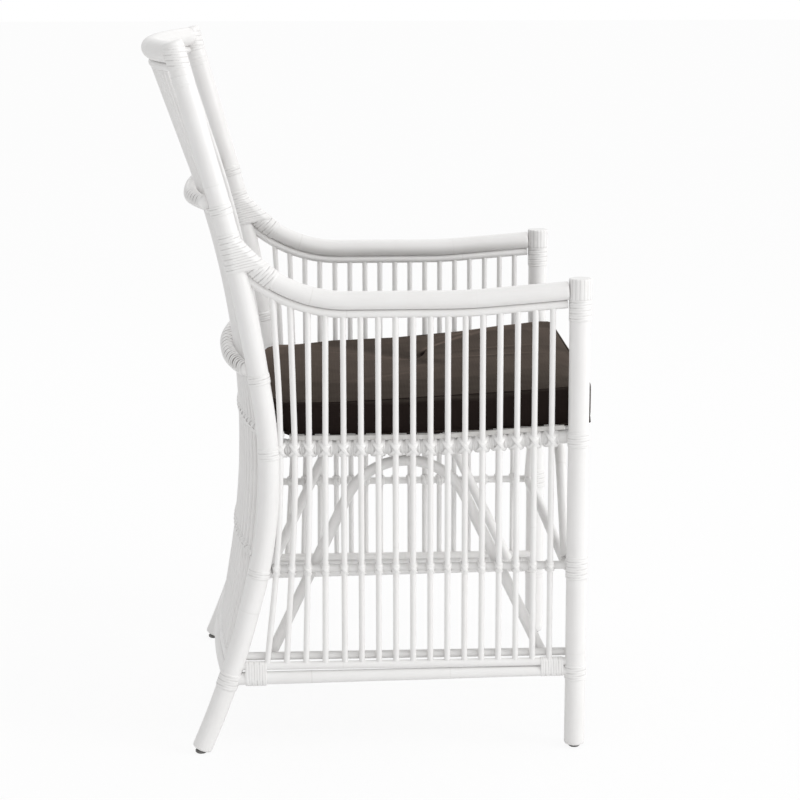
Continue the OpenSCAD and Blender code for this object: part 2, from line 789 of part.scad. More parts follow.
function power_of(v, e) = sign(v) * pow(abs(v), e);
function cushion_bottom(y) = seat_rail_at(max(0, min(y, seat_rail_rear_y))) + deck_lift + slat_t;
function cushion_point(inset, lift, step) =
    let (a = 360 * step / cushion_steps, e = 0.22, u = power_of(cos(a), e), v = power_of(sin(a), e),
         n = max(abs(u), abs(v)), ux = u / pow(n, 0.35), vx = v / pow(n, 0.35),
         x = (cushion_w / 2 - inset) * ux - sign(u) * cushion_pull * (1 - vx * vx) * (inset < cushion_edge ? 1 : 0.6),
         y0 = (cushion_half_l - inset) * vx,
         over = cushion_rake * min(1, max(0, (lift - 0.22) / 0.28)) * pow(max(0, vx), 8),
         rear = (cushion_mid_y - cushion_corner_y) * max(0, v) * (1 - ux * ux),
         y = cushion_mid + y0 + rear + over,
         t = cushion_t - cushion_fall * (1 + vx) / 2,
         crown = (1 - pow(2 * x / cushion_w, 2)) * (1 - pow(y0 / cushion_half_l, 2)))
    [x, y - mid_y, cushion_bottom(y) + air + lift * t + (lift > 0.5 ? cushion_crown * crown : 0)];

module cushion() {
    // [inset, share of the thickness] of each ring, from the underside to the top
    rings = [[170, 0], [60, 0], [16, 0], [5, 0.04], [1, 0.12], [0, 0.22], [0.8, 0.5], [0, 0.78], [1, 0.88],
             [5, 0.96], [16, 1], [45, 1], [90, 1], [150, 1], [200, 1]];
    m = cushion_steps;
    n = len(rings) - 1;
    points = concat([for (r = rings, s = [0 : m - 1]) cushion_point(r[0], r[1], s)],
                    [[0, cushion_mid - mid_y, cushion_bottom(cushion_mid) + air]],
                    [[0, cushion_mid - mid_y, cushion_bottom(cushion_mid) + air + cushion_t - cushion_fall / 2
                      + cushion_crown]]);
    sides = [for (i = [0 : n - 1], s = [0 : m - 1])
        let (a = m * i + s, b = m * i + (s + 1) % m) each [[a, a + m, b], [b, a + m, b + m]]];
    caps = [for (s = [0 : m - 1])
        let (t = (s + 1) % m) each [[len(points) - 2, s, t], [len(points) - 1, m * n + t, m * n + s]]];
    color([0.2, 0.18, 0.17]) polyhedron(points = points, faces = concat(sides, caps), convexity = 4);
}

// Fixings

module glides() {
    chamfer = glide_h * 0.4;
    color("dimgray")
        for (x = [-side_x, side_x], y = [0, reach(post_path, glide_h)])
            translate([x, y - mid_y, 0]) {
                cylinder(h = chamfer, d1 = glide_d - 2 * chamfer, d2 = glide_d);
                translate([0, 0, chamfer]) cylinder(h = glide_h - chamfer, d = glide_d);
            }
}

// A screw along the x of its own plane, with its head at the start. A hole is a little wider.
module screw(length, hole) {
    room = hole ? 0.2 : 0;
    head_h = screw_d * 0.7;
    translate([-room, 0, 0]) rotate([0, 90, 0]) {
        cylinder(h = length + 2 * room, d = screw_d + room);
        cylinder(h = head_h + room, d = screw_head_d + room);
    }
}

// Screws of the front leg, in the side view: into the arm and into the bottom rail
module front_screws(hole) {
    for (z = [arm_front_z, bottom_front_z])
        translate([-leg_r + 2, z, 0]) screw(leg_d - 2 + screw_bite, hole);
}

// Screw of the rear leg, in the side view: into the bottom rail
module rear_screws(hole) {
    translate([bottom_rear_y + leg_r - 2, bottom_rail_z, 0])
        rotate([0, 0, 180]) screw(leg_d - 2 + screw_bite, hole);
}

// Screw of the front leg into the front seat rail
module front_rail_screw(hole) {
    translate([side_x + leg_r - 2, -mid_y, front_rail_z])
        rotate([0, 0, 180]) screw(leg_d - 2 + screw_bite, hole);
}

module joint_screws() {
    color("silver")
        for (right = [false, true]) on_side(right) {
            side_view(side_x) front_screws(hole = false);
            side_view(side_x) rear_screws(hole = false);
            front_rail_screw(hole = false);
        }
}

// Bindings

// A sleeve of peel round the front leg
module leg_band(low, high) {
    translate([side_x, -mid_y, low]) difference() {
        cylinder(h = high - low, d = leg_d + 2 * peel_t);
        translate([0, 0, -1]) cylinder(h = high - low + 2, d = leg_d);
    }
}

// A sleeve of peel round the rear pole between two heights
module rear_band(low, high) {
    mid = (low + high) / 2;
    half = (high - low) / 2;
    difference() {
        rear_pole_near(mid, leg_d + 2 * peel_t, half);
        rear_pole_near(mid, leg_d + 0.1, half + 5);
    }
}

module arm_front_stub(d) {
    side_view(side_x) stub([0, arm_front_z], [arm_dip_front_y / 2, (arm_front_z + arm_dip_z) / 2], d);
}

cap_drop = 24;

module arm_caps() {
    color("white")
        for (right = [false, true]) on_side(right) difference() {
            translate([side_x, -mid_y, front_leg_top - cap_drop])
                cylinder(h = cap_drop + peel_t, d = leg_d + 2 * peel_t);
            translate([side_x, -mid_y, 0]) cylinder(h = front_leg_top + 0.05, d = leg_d + 0.1);
            arm_front_stub(arm_d + 2 * air);
        }
}

module front_leg_bindings() {
    neck = arm_front_z - liner_drop - thin_r - 3;
    color("white")
        for (right = [false, true]) on_side(right) {
            leg_band(neck - 18, neck);
            difference() {
                leg_band(front_rail_z - 12, front_rail_z + 10);
                seat_rail_front(seat_rail_d + 2 * air);
                front_view(0) stub([0, front_rail_z], [side_x - 3, front_rail_z], seat_rail_d + 2 * air);
            }
            difference() {
                leg_band(mid_rail_z - 16, mid_rail_z + 16);
                stretcher_pole(brace_d + 2 * air);
            }
            difference() {
                leg_band(bottom_front_z - 12, bottom_front_z + 9);
                side_view(side_x) stub([3, bottom_front_z], [50, bottom_front_z], bottom_rail_front_d + 1);
                side_view(side_x) stub([3, bottom_liner_z], [50, bottom_liner_z], thin_rail_d + 1);
            }
        }
}

module rear_leg_bindings() {
    color("white")
        for (right = [false, true]) on_side(right) {
            difference() {
                rear_band(bottom_rail_z - 12, bottom_rail_z + 10);
                side_view(side_x) stub([300, bottom_rail_z], [bottom_rear_y - 3, bottom_rail_z], bottom_rail_rear_d + 1);
                on_back(bottom_rail_z, 0) bow(back_bottom_rail_d + 2 * air, back_foot_bow);
            }
            difference() {
                rear_band(mid_rail_z - 9, mid_rail_z + 4);
                mid_side_pole(thin_rail_d + 2 * air);
            }
            difference() {
                rear_band(seat_rail_z - 12, seat_rail_z + 4);
                seat_rail_rear(seat_rail_d + 2 * air);
            }
        }
}

// Peel on the rear pole above and below the arm
module arm_rear_bindings() {
    color("white")
        for (right = [false, true]) on_side(right) {
            rear_band(arm_joint_z + arm_d * 0.75, arm_joint_z + arm_d * 0.75 + 12);
            rear_band(arm_joint_z - arm_d * 1.6 - 14, arm_joint_z - arm_d * 1.6);
        }
}

// Oval sleeves that bind a bottom rail and its liner together at both ends
module oval(rail_z, rail_d, grow) {
    translate([0, rail_z]) circle(d = rail_d + 2 * grow);
    translate([0, bottom_liner_z]) circle(d = thin_rail_d + 2 * grow);
    polygon([[-rail_d / 2 - grow, rail_z], [rail_d / 2 + grow, rail_z],
             [thin_r + grow, bottom_liner_z], [-thin_r - grow, bottom_liner_z]]);
}

module oval_sleeve(front, rear, rail_z, rail_d) {
    translate([side_x, rear - mid_y, 0])
        rotate([90, 0, 0])
            linear_extrude(rear - front) difference() {
                oval(rail_z, rail_d, peel_t + 0.2);
                oval(rail_z, rail_d, 0.2);
            }
}

module bottom_sleeves() {
    rear_y = reach(post_path, bottom_liner_z) - (leg_r + peel_t) / cos(lean(post_path, bottom_liner_z)) - 2;
    last = spindle_at(side_spindles - 1, bottom_liner_z + thin_r) + spindle_r + 1;
    color("white")
        for (right = [false, true]) on_side(right) {
            oval_sleeve(leg_r + peel_t + 0.5, first_spindle_y - spindle_r - 1, bottom_front_z, bottom_rail_front_d);
            oval_sleeve(last, rear_y, bottom_rail_z, bottom_rail_rear_d);
        }
}

// Peel round the rear poles under the top rail
module top_rail_bindings() {
    under = top_end_z - back_liner_drop - thin_r - 4;
    color("white")
        for (right = [false, true]) on_side(right) rear_band(under - top_band_l, under);
}

// Peel round the rear poles at the ends of the two wound rails
module bow_end_bindings() {
    color("white")
        for (right = [false, true]) on_side(right)
            for (h = [upper_bow_z, lower_bow_z])
                rear_band(h - bow_core_d * 0.6 - 12, h - bow_core_d * 0.6);
}

// A lashing: a short sleeve on a rail that lies along X, and a band round the spindle behind it.
// The origin is where the spindle's axis crosses the level of the rail's axis.
module lashing(rail_d, out) {
    difference() {
        union() {
            translate([spindle_r - 1, -out, 0]) rotate([0, 90, 0]) cylinder(h = lash_l, d = rail_d + 2 * peel_t);
            translate([0, 0, -lash_band / 2]) cylinder(h = lash_band, d = spindle_d + 2 * peel_t);
        }
        translate([0, -out, 0]) across(rail_d + 0.1, 60);
        cylinder(h = 60, d = spindle_d + 0.2, center = true);
    }
}

module side_lashings(right, rail_d) {
    color("white") on_side(right)
        for (i = [0 : side_spindles - 1]) {
            seat = rail_d == seat_rail_d;
            h = seat ? seat_rail_at(spindle_y(i)) : mid_rail_z;
            tilt = seat && spindle_y(i) < seat_rail_bend_y ? atan(seat_rail_rise / seat_rail_bend_y) : 0;
            translate([side_x, spindle_at(i, h) - mid_y, h])
                rotate([0, 0, -90]) rotate([0, -tilt, 0]) lashing(rail_d, (rail_d + spindle_d) / 2 + air);
        }
}

// The spindles beside the poles stand a little behind the arc of the row, and the rail lies on that arc
module back_lashings(h, rail_d) {
    rise = row_rise(h);
    color("white")
        for (i = [0 : back_spindles - 1])
            let (x = back_spindle_x(i), tip = asin(x / row_r(rise)))
            translate([x, reach(back_spindle_path(x), h) - mid_y, h])
                rotate([0, 0, -tip])
                    lashing(rail_d, (rail_d + spindle_d) / 2 + air + behind_arc(x, h) * cos(tip));
}

rear_leg(false);  // rear_leg_left
rear_leg(true);  // rear_leg_right
front_leg(false);  // front_leg_left
front_leg(true);  // front_leg_right
arm(false);  // arm_left
arm(true);  // arm_right
arm_liner(false);  // arm_liner_left
arm_liner(true);  // arm_liner_right
side_spindles(false);  // side_spindles_left
side_spindles(true);  // side_spindles_right
seat_side_rail(false);  // seat_side_rail_left
seat_side_rail(true);  // seat_side_rail_right
mid_side_rail(false);  // mid_side_rail_left
mid_side_rail(true);  // mid_side_rail_right
bottom_side_rail(false);  // bottom_side_rail_left
bottom_side_rail(true);  // bottom_side_rail_right
bottom_liner(false);  // bottom_liner_left
bottom_liner(true);  // bottom_liner_right
inner_bottom_rail(false);  // inner_bottom_rail_left
inner_bottom_rail(true);  // inner_bottom_rail_right
side_arch(false);  // side_arch_left
side_arch(true);  // side_arch_right
front_seat_rail();
front_stretcher();
front_arch();
top_rail();
top_liner();
bow_rail(upper_bow_z);  // upper_bow_rail
winding(upper_bow_z);  // upper_bow_winding
bow_rail(lower_bow_z);  // lower_bow_rail
winding(lower_bow_z);  // lower_bow_winding
back_rail(back_seat_rail_z, seat_rail_d);  // back_seat_rail
back_rail(back_mid_rail_z, thin_rail_d);  // back_mid_rail
foot_rail(bottom_rail_z, back_bottom_rail_d);  // back_bottom_rail
foot_rail(back_foot_liner_z, thin_rail_d);  // back_bottom_liner
back_spindles_row();  // back_spindles
seat_slats();
seat_edge_strips();
cushion();
glides();
joint_screws();
arm_caps();
front_leg_bindings();
rear_leg_bindings();
arm_rear_bindings();
bottom_sleeves();
top_rail_bindings();
bow_end_bindings();
side_lashings(false, seat_rail_d);  // seat_lashings_left
side_lashings(true, seat_rail_d);  // seat_lashings_right
side_lashings(false, thin_rail_d);  // mid_lashings_left
side_lashings(true, thin_rail_d);  // mid_lashings_right
back_lashings(back_seat_rail_z, seat_rail_d);  // back_seat_lashings
back_lashings(back_mid_rail_z, thin_rail_d);  // back_mid_lashings
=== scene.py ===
"""Looks of the rattan armchair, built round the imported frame.

Every pole, spindle, rail and arch is swept again along the same path as its solid, with the growth
rings, fibre and small swellings of painted cane. Every binding is wound from flat peel, and the cushion
is blown up as cloth. Metres, +Z up, the sitter faces -Y, and the sitter's right side faces the camera.
"""

import logging
import math
from dataclasses import dataclass, field
from enum import Enum
from functools import cache

import bpy
import numpy as np
from mathutils import Matrix, Vector


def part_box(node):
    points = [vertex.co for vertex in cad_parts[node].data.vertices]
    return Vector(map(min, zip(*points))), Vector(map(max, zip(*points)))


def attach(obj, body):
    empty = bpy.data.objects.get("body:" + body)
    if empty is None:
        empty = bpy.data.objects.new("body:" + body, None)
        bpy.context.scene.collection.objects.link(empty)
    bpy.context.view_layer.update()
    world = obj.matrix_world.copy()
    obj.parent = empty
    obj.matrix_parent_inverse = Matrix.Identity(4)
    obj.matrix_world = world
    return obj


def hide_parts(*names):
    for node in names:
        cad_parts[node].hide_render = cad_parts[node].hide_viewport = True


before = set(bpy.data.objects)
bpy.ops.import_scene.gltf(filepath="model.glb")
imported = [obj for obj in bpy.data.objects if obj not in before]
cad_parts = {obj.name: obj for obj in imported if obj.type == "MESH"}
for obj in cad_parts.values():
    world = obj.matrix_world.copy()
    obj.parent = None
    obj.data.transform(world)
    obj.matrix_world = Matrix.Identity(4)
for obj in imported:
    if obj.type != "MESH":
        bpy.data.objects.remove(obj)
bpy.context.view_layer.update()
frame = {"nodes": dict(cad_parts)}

LOG = logging.getLogger("armchair")
MM = 0.001
UP = np.array([0.0, 0.0, 1.0])
SIDE_UP = np.array([1.0, 0.0, 0.0])
FRONT_UP = np.array([0.0, 1.0, 0.0])
FRONT_LEG_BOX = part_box("front_leg_left")
LEG_AXIS_Y = (FRONT_LEG_BOX[0].y + FRONT_LEG_BOX[1].y) / 2


class Side(Enum):
    """The two side frames, by the sign of their X."""

    LEFT = 1
    RIGHT = -1

    @property
    def word(self) -> str:
        """The side's name as the nodes spell it."""
        return self.name.lower()

    @property
    def nth(self) -> int:
        """0 on the left and 1 on the right, to set the seeds of twin pieces apart."""
        return (1 - self.value) // 2


# Paths


def smooth_path(corners: list[tuple[float, float, float]], spacing: float = 3.0) -> np.ndarray:
    """Rounds the corners of a flat path.

    Each inner corner becomes an arc of its bend radius, or of the largest radius that its two
    stretches leave room for. The result is walked again at even steps of length.

    Args:
        corners: (first coordinate, second coordinate, bend radius) of each corner, in millimetres.
        spacing: the step between points, in millimetres.

    Returns:
        Points as an array of shape (n, 2).
    """
    c = np.array(corners, float)
    xy, bend = c[:, :2], c[:, 2]
    span = np.linalg.norm(np.diff(xy, axis=0), axis=1)
    heading = np.arctan2(np.diff(xy[:, 1]), np.diff(xy[:, 0]))
    out = [xy[:1]]
    last = len(xy) - 1
    for i in range(1, last):
        turn = (heading[i] - heading[i - 1] + math.pi) % (2 * math.pi) - math.pi
        room = min(span[i - 1] * (0.95 if i == 1 else 0.5), span[i] * (0.95 if i == last - 1 else 0.5))
        half = math.tan(abs(turn) / 2)
        r = min(bend[i], room / half)
        start = xy[i] - r * half * np.array([math.cos(heading[i - 1]), math.sin(heading[i - 1])])
        side = math.copysign(1.0, turn)
        centre = start + side * r * np.array([-math.sin(heading[i - 1]), math.cos(heading[i - 1])])
        a = heading[i - 1] + turn * np.linspace(0, 1, max(8, int(abs(turn) * r / spacing) + 2))
        out.append(centre + side * r * np.stack([np.sin(a), -np.cos(a)], axis=1))
    out.append(xy[-1:])
    return even_steps(np.concatenate(out), spacing)


def even_steps(points: np.ndarray, spacing: float) -> np.ndarray:
    """Walks a path again at even steps.

    Args:
        points: the path, of shape (n, 2) or (n, 3).
        spacing: the wanted step, in the path's own unit.

    Returns:
        Points of the same width, with both ends kept.
    """
    s = arc_length(points)
    keep = np.concatenate([[True], np.diff(s) > 1e-9])
    s, points = s[keep], points[keep]
    at = np.linspace(0, s[-1], max(2, int(round(s[-1] / spacing)) + 1))
    return np.stack([np.interp(at, s, points[:, k]) for k in range(points.shape[1])], axis=1)


def arc_length(points: np.ndarray) -> np.ndarray:
    """Length walked from the first point to each point."""
    return np.concatenate([[0.0], np.cumsum(np.linalg.norm(np.diff(points, axis=0), axis=1))])


def shifted(path: np.ndarray, distance: float) -> np.ndarray:
    """Moves each point of a flat path to the left of its heading by a distance.

    Args:
        path: points of shape (n, 2).
        distance: how far they move, in the path's own unit.

    Returns:
        The moved points.
    """
    d = np.gradient(path, axis=0)
    d /= np.linalg.norm(d, axis=1)[:, None]
    return path + distance * np.stack([-d[:, 1], d[:, 0]], axis=1)


def side_line(path: np.ndarray, x: float) -> np.ndarray:
    """Stands a side-view path (place, height) in millimetres up at x millimetres, in the row's metres."""
    return np.stack([np.full(len(path), x * MM), path[:, 0] * MM + LEG_AXIS_Y, path[:, 1] * MM], axis=1)


def front_line(path: np.ndarray, y: float) -> np.ndarray:
    """Stands a front-view path (x, height) in millimetres up at y millimetres behind the front legs."""
    return np.stack([path[:, 0] * MM, np.full(len(path), y * MM + LEG_AXIS_Y), path[:, 1] * MM], axis=1)


@dataclass(frozen=True)
class ChairSizes:
    """The chair's leading sizes in millimetres, the same as those of the solids."""

    side_x: float = 264.0
    leg_d: float = 28.0
    arm_d: float = 25.0
    top_rail_d: float = 28.0
    seat_rail_d: float = 19.0
    thin_d: float = 11.0
    bottom_rear_d: float = 18.0
    bottom_front_d: float = 14.0
    brace_d: float = 15.0
    bow_core_d: float = 14.0
    spindle_d: float = 8.0
    peel: float = 1.6
    air: float = 0.3
    front_top: float = 648.0
    glide_h: float = 4.0
    mid_rail_z: float = 255.0
    seat_rail_z: float = 421.0
    seat_rail_rise: float = 12.0
    seat_rail_bend_y: float = 190.0
    bottom_rail_z: float = 104.0
    bottom_rail_rise: float = 5.0
    first_spindle_y: float = 36.0
    spindle_pitch: float = 23.2
    side_spindles: int = 17
    bent_spindles: int = 4
    bend_in: float = 14.0
    spread: float = 13.0
    back_spindles: int = 21
    back_pitch: float = 22.7
    back_bow: float = 40.0
    shoulder_bow: float = 26.0
    waist_bow: float = 46.0
    foot_bow: float = 18.0
    top_tip: float = 3.0
    back_top: float = 960.0
    upper_bow_z: float = 757.0
    lower_bow_z: float = 532.0
    top_set: float = 4.0
    stretcher_y: float = 12.0

    @property
    def top_liner_drop(self) -> float:
        """Distance between the axes of the top rail and its liner."""
        return (self.top_rail_d + self.thin_d) / 2

    @property
    def back_seat_z(self) -> float:
        """Height of the back's inner rail at the seat."""
        return self.seat_rail_z + self.seat_rail_d + self.peel

    @property
    def back_inner_rails(self) -> list[tuple[str, float, float]]:
        """Name, height and diameter of the two rails that run inside the back spindles."""
        return [("seat", self.back_seat_z, self.seat_rail_d),
                ("mid", self.mid_rail_z + self.thin_d + self.peel, self.thin_d)]

    @property
    def back_foot_d(self) -> float:
        """Diameter of the back's bottom rail."""
        return (self.bottom_rear_d + self.bottom_front_d) / 2

    @property
    def back_liner_z(self) -> float:
        """Height of the liner on the back's bottom rail."""
        return self.bottom_rail_z + self.back_foot_d / 2 + self.thin_d / 2

    def post_corners(self) -> list[tuple[float, float, float]]:
        """Corners of the rear pole's path, from its foot to its top."""
        return [(513, 0, 0), (470, 98, 2000), (401, 356, 2000), (446, 647, 2000), (532, 960, 0)]

    def arm_corners(self) -> list[tuple[float, float, float]]:
        """Corners of the arm's path, from the front leg to inside the rear pole.

        Returns:
            (place, height, bend radius) of each corner.
        """
        rise, bend_y, bend_z, end = math.radians(48), 418, 653, 75
        return [(0, 634, 0), (150, 622, 690), (347, 622, 230), (bend_y, bend_z, 230),
                (bend_y + end * math.cos(rise), bend_z + end * math.sin(rise), 0)]


SIZES = ChairSizes()
POST = smooth_path(SIZES.post_corners(), 2.0)
ARM = smooth_path(SIZES.arm_corners(), 2.0)
LINER_DROP = (SIZES.arm_d + SIZES.thin_d) / 2
LINER = shifted(ARM, -LINER_DROP)
BOTTOM_LINER_Z = SIZES.thin_d / 2 + max(
    SIZES.bottom_rail_z + SIZES.bottom_rear_d / 2,
    SIZES.bottom_rail_z + SIZES.bottom_rail_rise + SIZES.bottom_front_d / 2)
FOOT_ARC = smooth_path([(-SIZES.side_x, 0, 0), (0, 2 * SIZES.foot_bow, 20000), (SIZES.side_x, 0, 0)])
RAIL_IN = SIZES.spindle_d / 2 + SIZES.seat_rail_d / 2 + SIZES.air
THIN_IN = SIZES.spindle_d / 2 + SIZES.thin_d / 2 + SIZES.air
ARCH_IN = SIZES.spindle_d / 2 + SIZES.thin_d + SIZES.peel + SIZES.brace_d / 2 + SIZES.air


def post_y(height: float | np.ndarray) -> float | np.ndarray:
    """Place of the rear pole's axis at a height."""
    return np.interp(height, POST[:, 1], POST[:, 0])


def post_lean(height: float) -> float:
    """Lean of the rear pole at a height, in radians to the rear."""
    return math.atan(float(post_y(height + 2) - post_y(height - 2)) / 4)


def bow_radius(rise: float) -> float:
    """Radius of the circle through both side frames whose middle rises as given."""
    return (SIZES.side_x**2 + rise**2) / (2 * rise)


def bow_rise_at(x: float | np.ndarray, rise: float) -> float | np.ndarray:
    """Rearward rise, at x, of the circle through both side frames whose middle rises as given."""
    r = bow_radius(rise)
    return np.sqrt(r * r - np.square(x)) - (r - rise)


def seat_rail_at(y: float | np.ndarray) -> float | np.ndarray:
    """Height of a seat side rail's axis at a place behind the front leg."""
    slope = np.clip((SIZES.seat_rail_bend_y - np.asarray(y, float)) / SIZES.seat_rail_bend_y, 0, 1)
    return SIZES.seat_rail_z + SIZES.seat_rail_rise * slope


# Meshes


UV_SHIFT = np.array([0.37, 5.1])


@dataclass
class Skin:
    """Gathers closed grids into one mesh, with a UV map in metres and per-point marks.

    Each grid's place in the UV map moves by its tone, so that no two canes share their fibre.
    """

    points: list[np.ndarray] = field(default_factory=list)
    faces: list[np.ndarray] = field(default_factory=list)
    tris: list[np.ndarray] = field(default_factory=list)
    uv: list[np.ndarray] = field(default_factory=list)
    tri_uv: list[np.ndarray] = field(default_factory=list)
    mark: list[np.ndarray] = field(default_factory=list)
    tone: list[np.ndarray] = field(default_factory=list)
    count: int = 0

    def _add_grid(self, rings: np.ndarray, run: np.ndarray, mark: np.ndarray, tone: float,
                  girth: float) -> None:
        """Adds a grid that is closed round each ring.

        A point of ring i and step j is joined to ring i + 1 and step j + 1.

        Args:
            rings: points of shape (rings, steps, 3), the steps running left-handed round the travel.
            run: length walked at each ring, with one more entry where the last ring joins the first.
            mark: a value for each point, of shape (rings, steps), for the material.
            tone: one value for the whole grid, for the material.
            girth: length round the grid, in metres, for the UV map.
        """
        n, m, _ = rings.shape
        i, j = np.meshgrid(np.arange(len(run) - 1), np.arange(m), indexing="ij")
        h, k = (i + 1) % n, (j + 1) % m
        quads = self.count + np.stack([i * m + j, i * m + k, h * m + k, h * m + j], axis=-1)
        u0, u1 = j / m * girth, (j + 1) / m * girth
        uv = np.stack([np.stack([u0, run[i]], -1), np.stack([u1, run[i]], -1),
                       np.stack([u1, run[i + 1]], -1), np.stack([u0, run[i + 1]], -1)], axis=-2)
        self.points.append(rings.reshape(-1, 3))
        self.faces.append(quads.reshape(-1, 4))
        self.uv.append((uv + tone * UV_SHIFT).reshape(-1, 2))
        self.mark.append(mark.reshape(-1))
        self.tone.append(np.full(n * m, tone))
        self.count += n * m

    def add_loop(self, rings: np.ndarray, mark: np.ndarray, tone: float, girth: float) -> None:
        """Adds a tube whose last ring is joined to its first one, with the values of a grid."""
        run = arc_length(np.concatenate([rings, rings[:1]]).mean(axis=1))
        self._add_grid(rings, run, mark, tone, girth)

    def add_tube(self, rings: np.ndarray, mark: np.ndarray, tone: float, girth: float) -> None:
        """Adds a tube, with the values of a grid, whose ends close in a fan to the mean of their ring.

        Args:
            rings: points of shape (rings, steps, 3).
            mark: a value for each point, for the material.
            tone: one value for the whole tube, for the material.
            girth: length round the tube, in metres.
        """
        base, a = self.count, np.arange(rings.shape[1])
        self._add_grid(rings, arc_length(rings.mean(axis=1)), mark, tone, girth)
        b = (a + 1) % len(a)
        top = self.count - len(a)
        start = np.stack([np.full(len(a), self.count), base + b, base + a], axis=-1)
        end = np.stack([np.full(len(a), self.count + 1), top + a, top + b], axis=-1)
        self.points += [rings[0].mean(axis=0)[None], rings[-1].mean(axis=0)[None]]
        self.tris += [start, end]
        self.tri_uv.append(np.tile(tone * UV_SHIFT, (6 * len(a), 1)))
        self.mark += [mark[0].mean()[None], mark[-1].mean()[None]]
        self.tone.append(np.full(2, tone))
        self.count += 2

    def build(self, name: str) -> bpy.types.Object:
        """Makes the mesh object.

        Args:
            name: the piece's name.

        Returns:
            The object, linked to the scene, with its place in its mesh.
        """
        quads, tris = np.concatenate(self.faces), np.concatenate([*self.tris, np.empty((0, 3), int)])
        mesh = bpy.data.meshes.new(name)
        co = np.concatenate(self.points).astype(np.float32)
        mesh.vertices.add(len(co))
        mesh.vertices.foreach_set("co", co.ravel())
        corners = np.concatenate([quads.ravel(), tris.ravel()]).astype(np.int32)
        sizes = np.concatenate([np.full(len(quads), 4), np.full(len(tris), 3)]).astype(np.int32)
        mesh.loops.add(len(corners))
        mesh.loops.foreach_set("vertex_index", corners)
        mesh.polygons.add(len(sizes))
        mesh.polygons.foreach_set("loop_start", np.concatenate([[0], np.cumsum(sizes)[:-1]]).astype(np.int32))
        mesh.polygons.foreach_set("use_smooth", np.ones(len(sizes), bool))
        layer = mesh.uv_layers.new(name="grain")
        mesh.update(calc_edges=True)
        layer.data.foreach_set("uv", np.concatenate(self.uv + self.tri_uv).astype(np.float32).ravel())
        for title, values in (("mark", self.mark), ("tone", self.tone)):
            attribute = mesh.attributes.new(title, "FLOAT", "POINT")
            attribute.data.foreach_set("value", np.concatenate(values).astype(np.float32))
        mesh.validate()
        obj = bpy.data.objects.new(name, mesh)
        bpy.context.scene.collection.objects.link(obj)
        return obj


def read_points(mesh: bpy.types.Mesh) -> np.ndarray:
    """A mesh's points as an array.

    Args:
        mesh: the mesh.

    Returns:
        Points of shape (n, 3).
    """
    out = np.empty(len(mesh.vertices) * 3, np.float32)
    mesh.vertices.foreach_get("co", out)
    return out.reshape(-1, 3).astype(float)


def frames_along(line: np.ndarray, up: np.ndarray) -> tuple[np.ndarray, np.ndarray]:
    """Two directions square to a flat curve at each of its points.

    Args:
        line: points of shape (n, 3) that lie in one plane.
        up: that plane's normal.

    Returns:
        The normal inside the plane, which is up crossed with the heading, and the plane's normal.
    """
    t = np.gradient(line, axis=0)
    t /= np.linalg.norm(t, axis=1)[:, None]
    b = np.broadcast_to(np.asarray(up, float) / np.linalg.norm(up), t.shape)
    n = np.cross(b, t)
    return n / np.linalg.norm(n, axis=1)[:, None], b


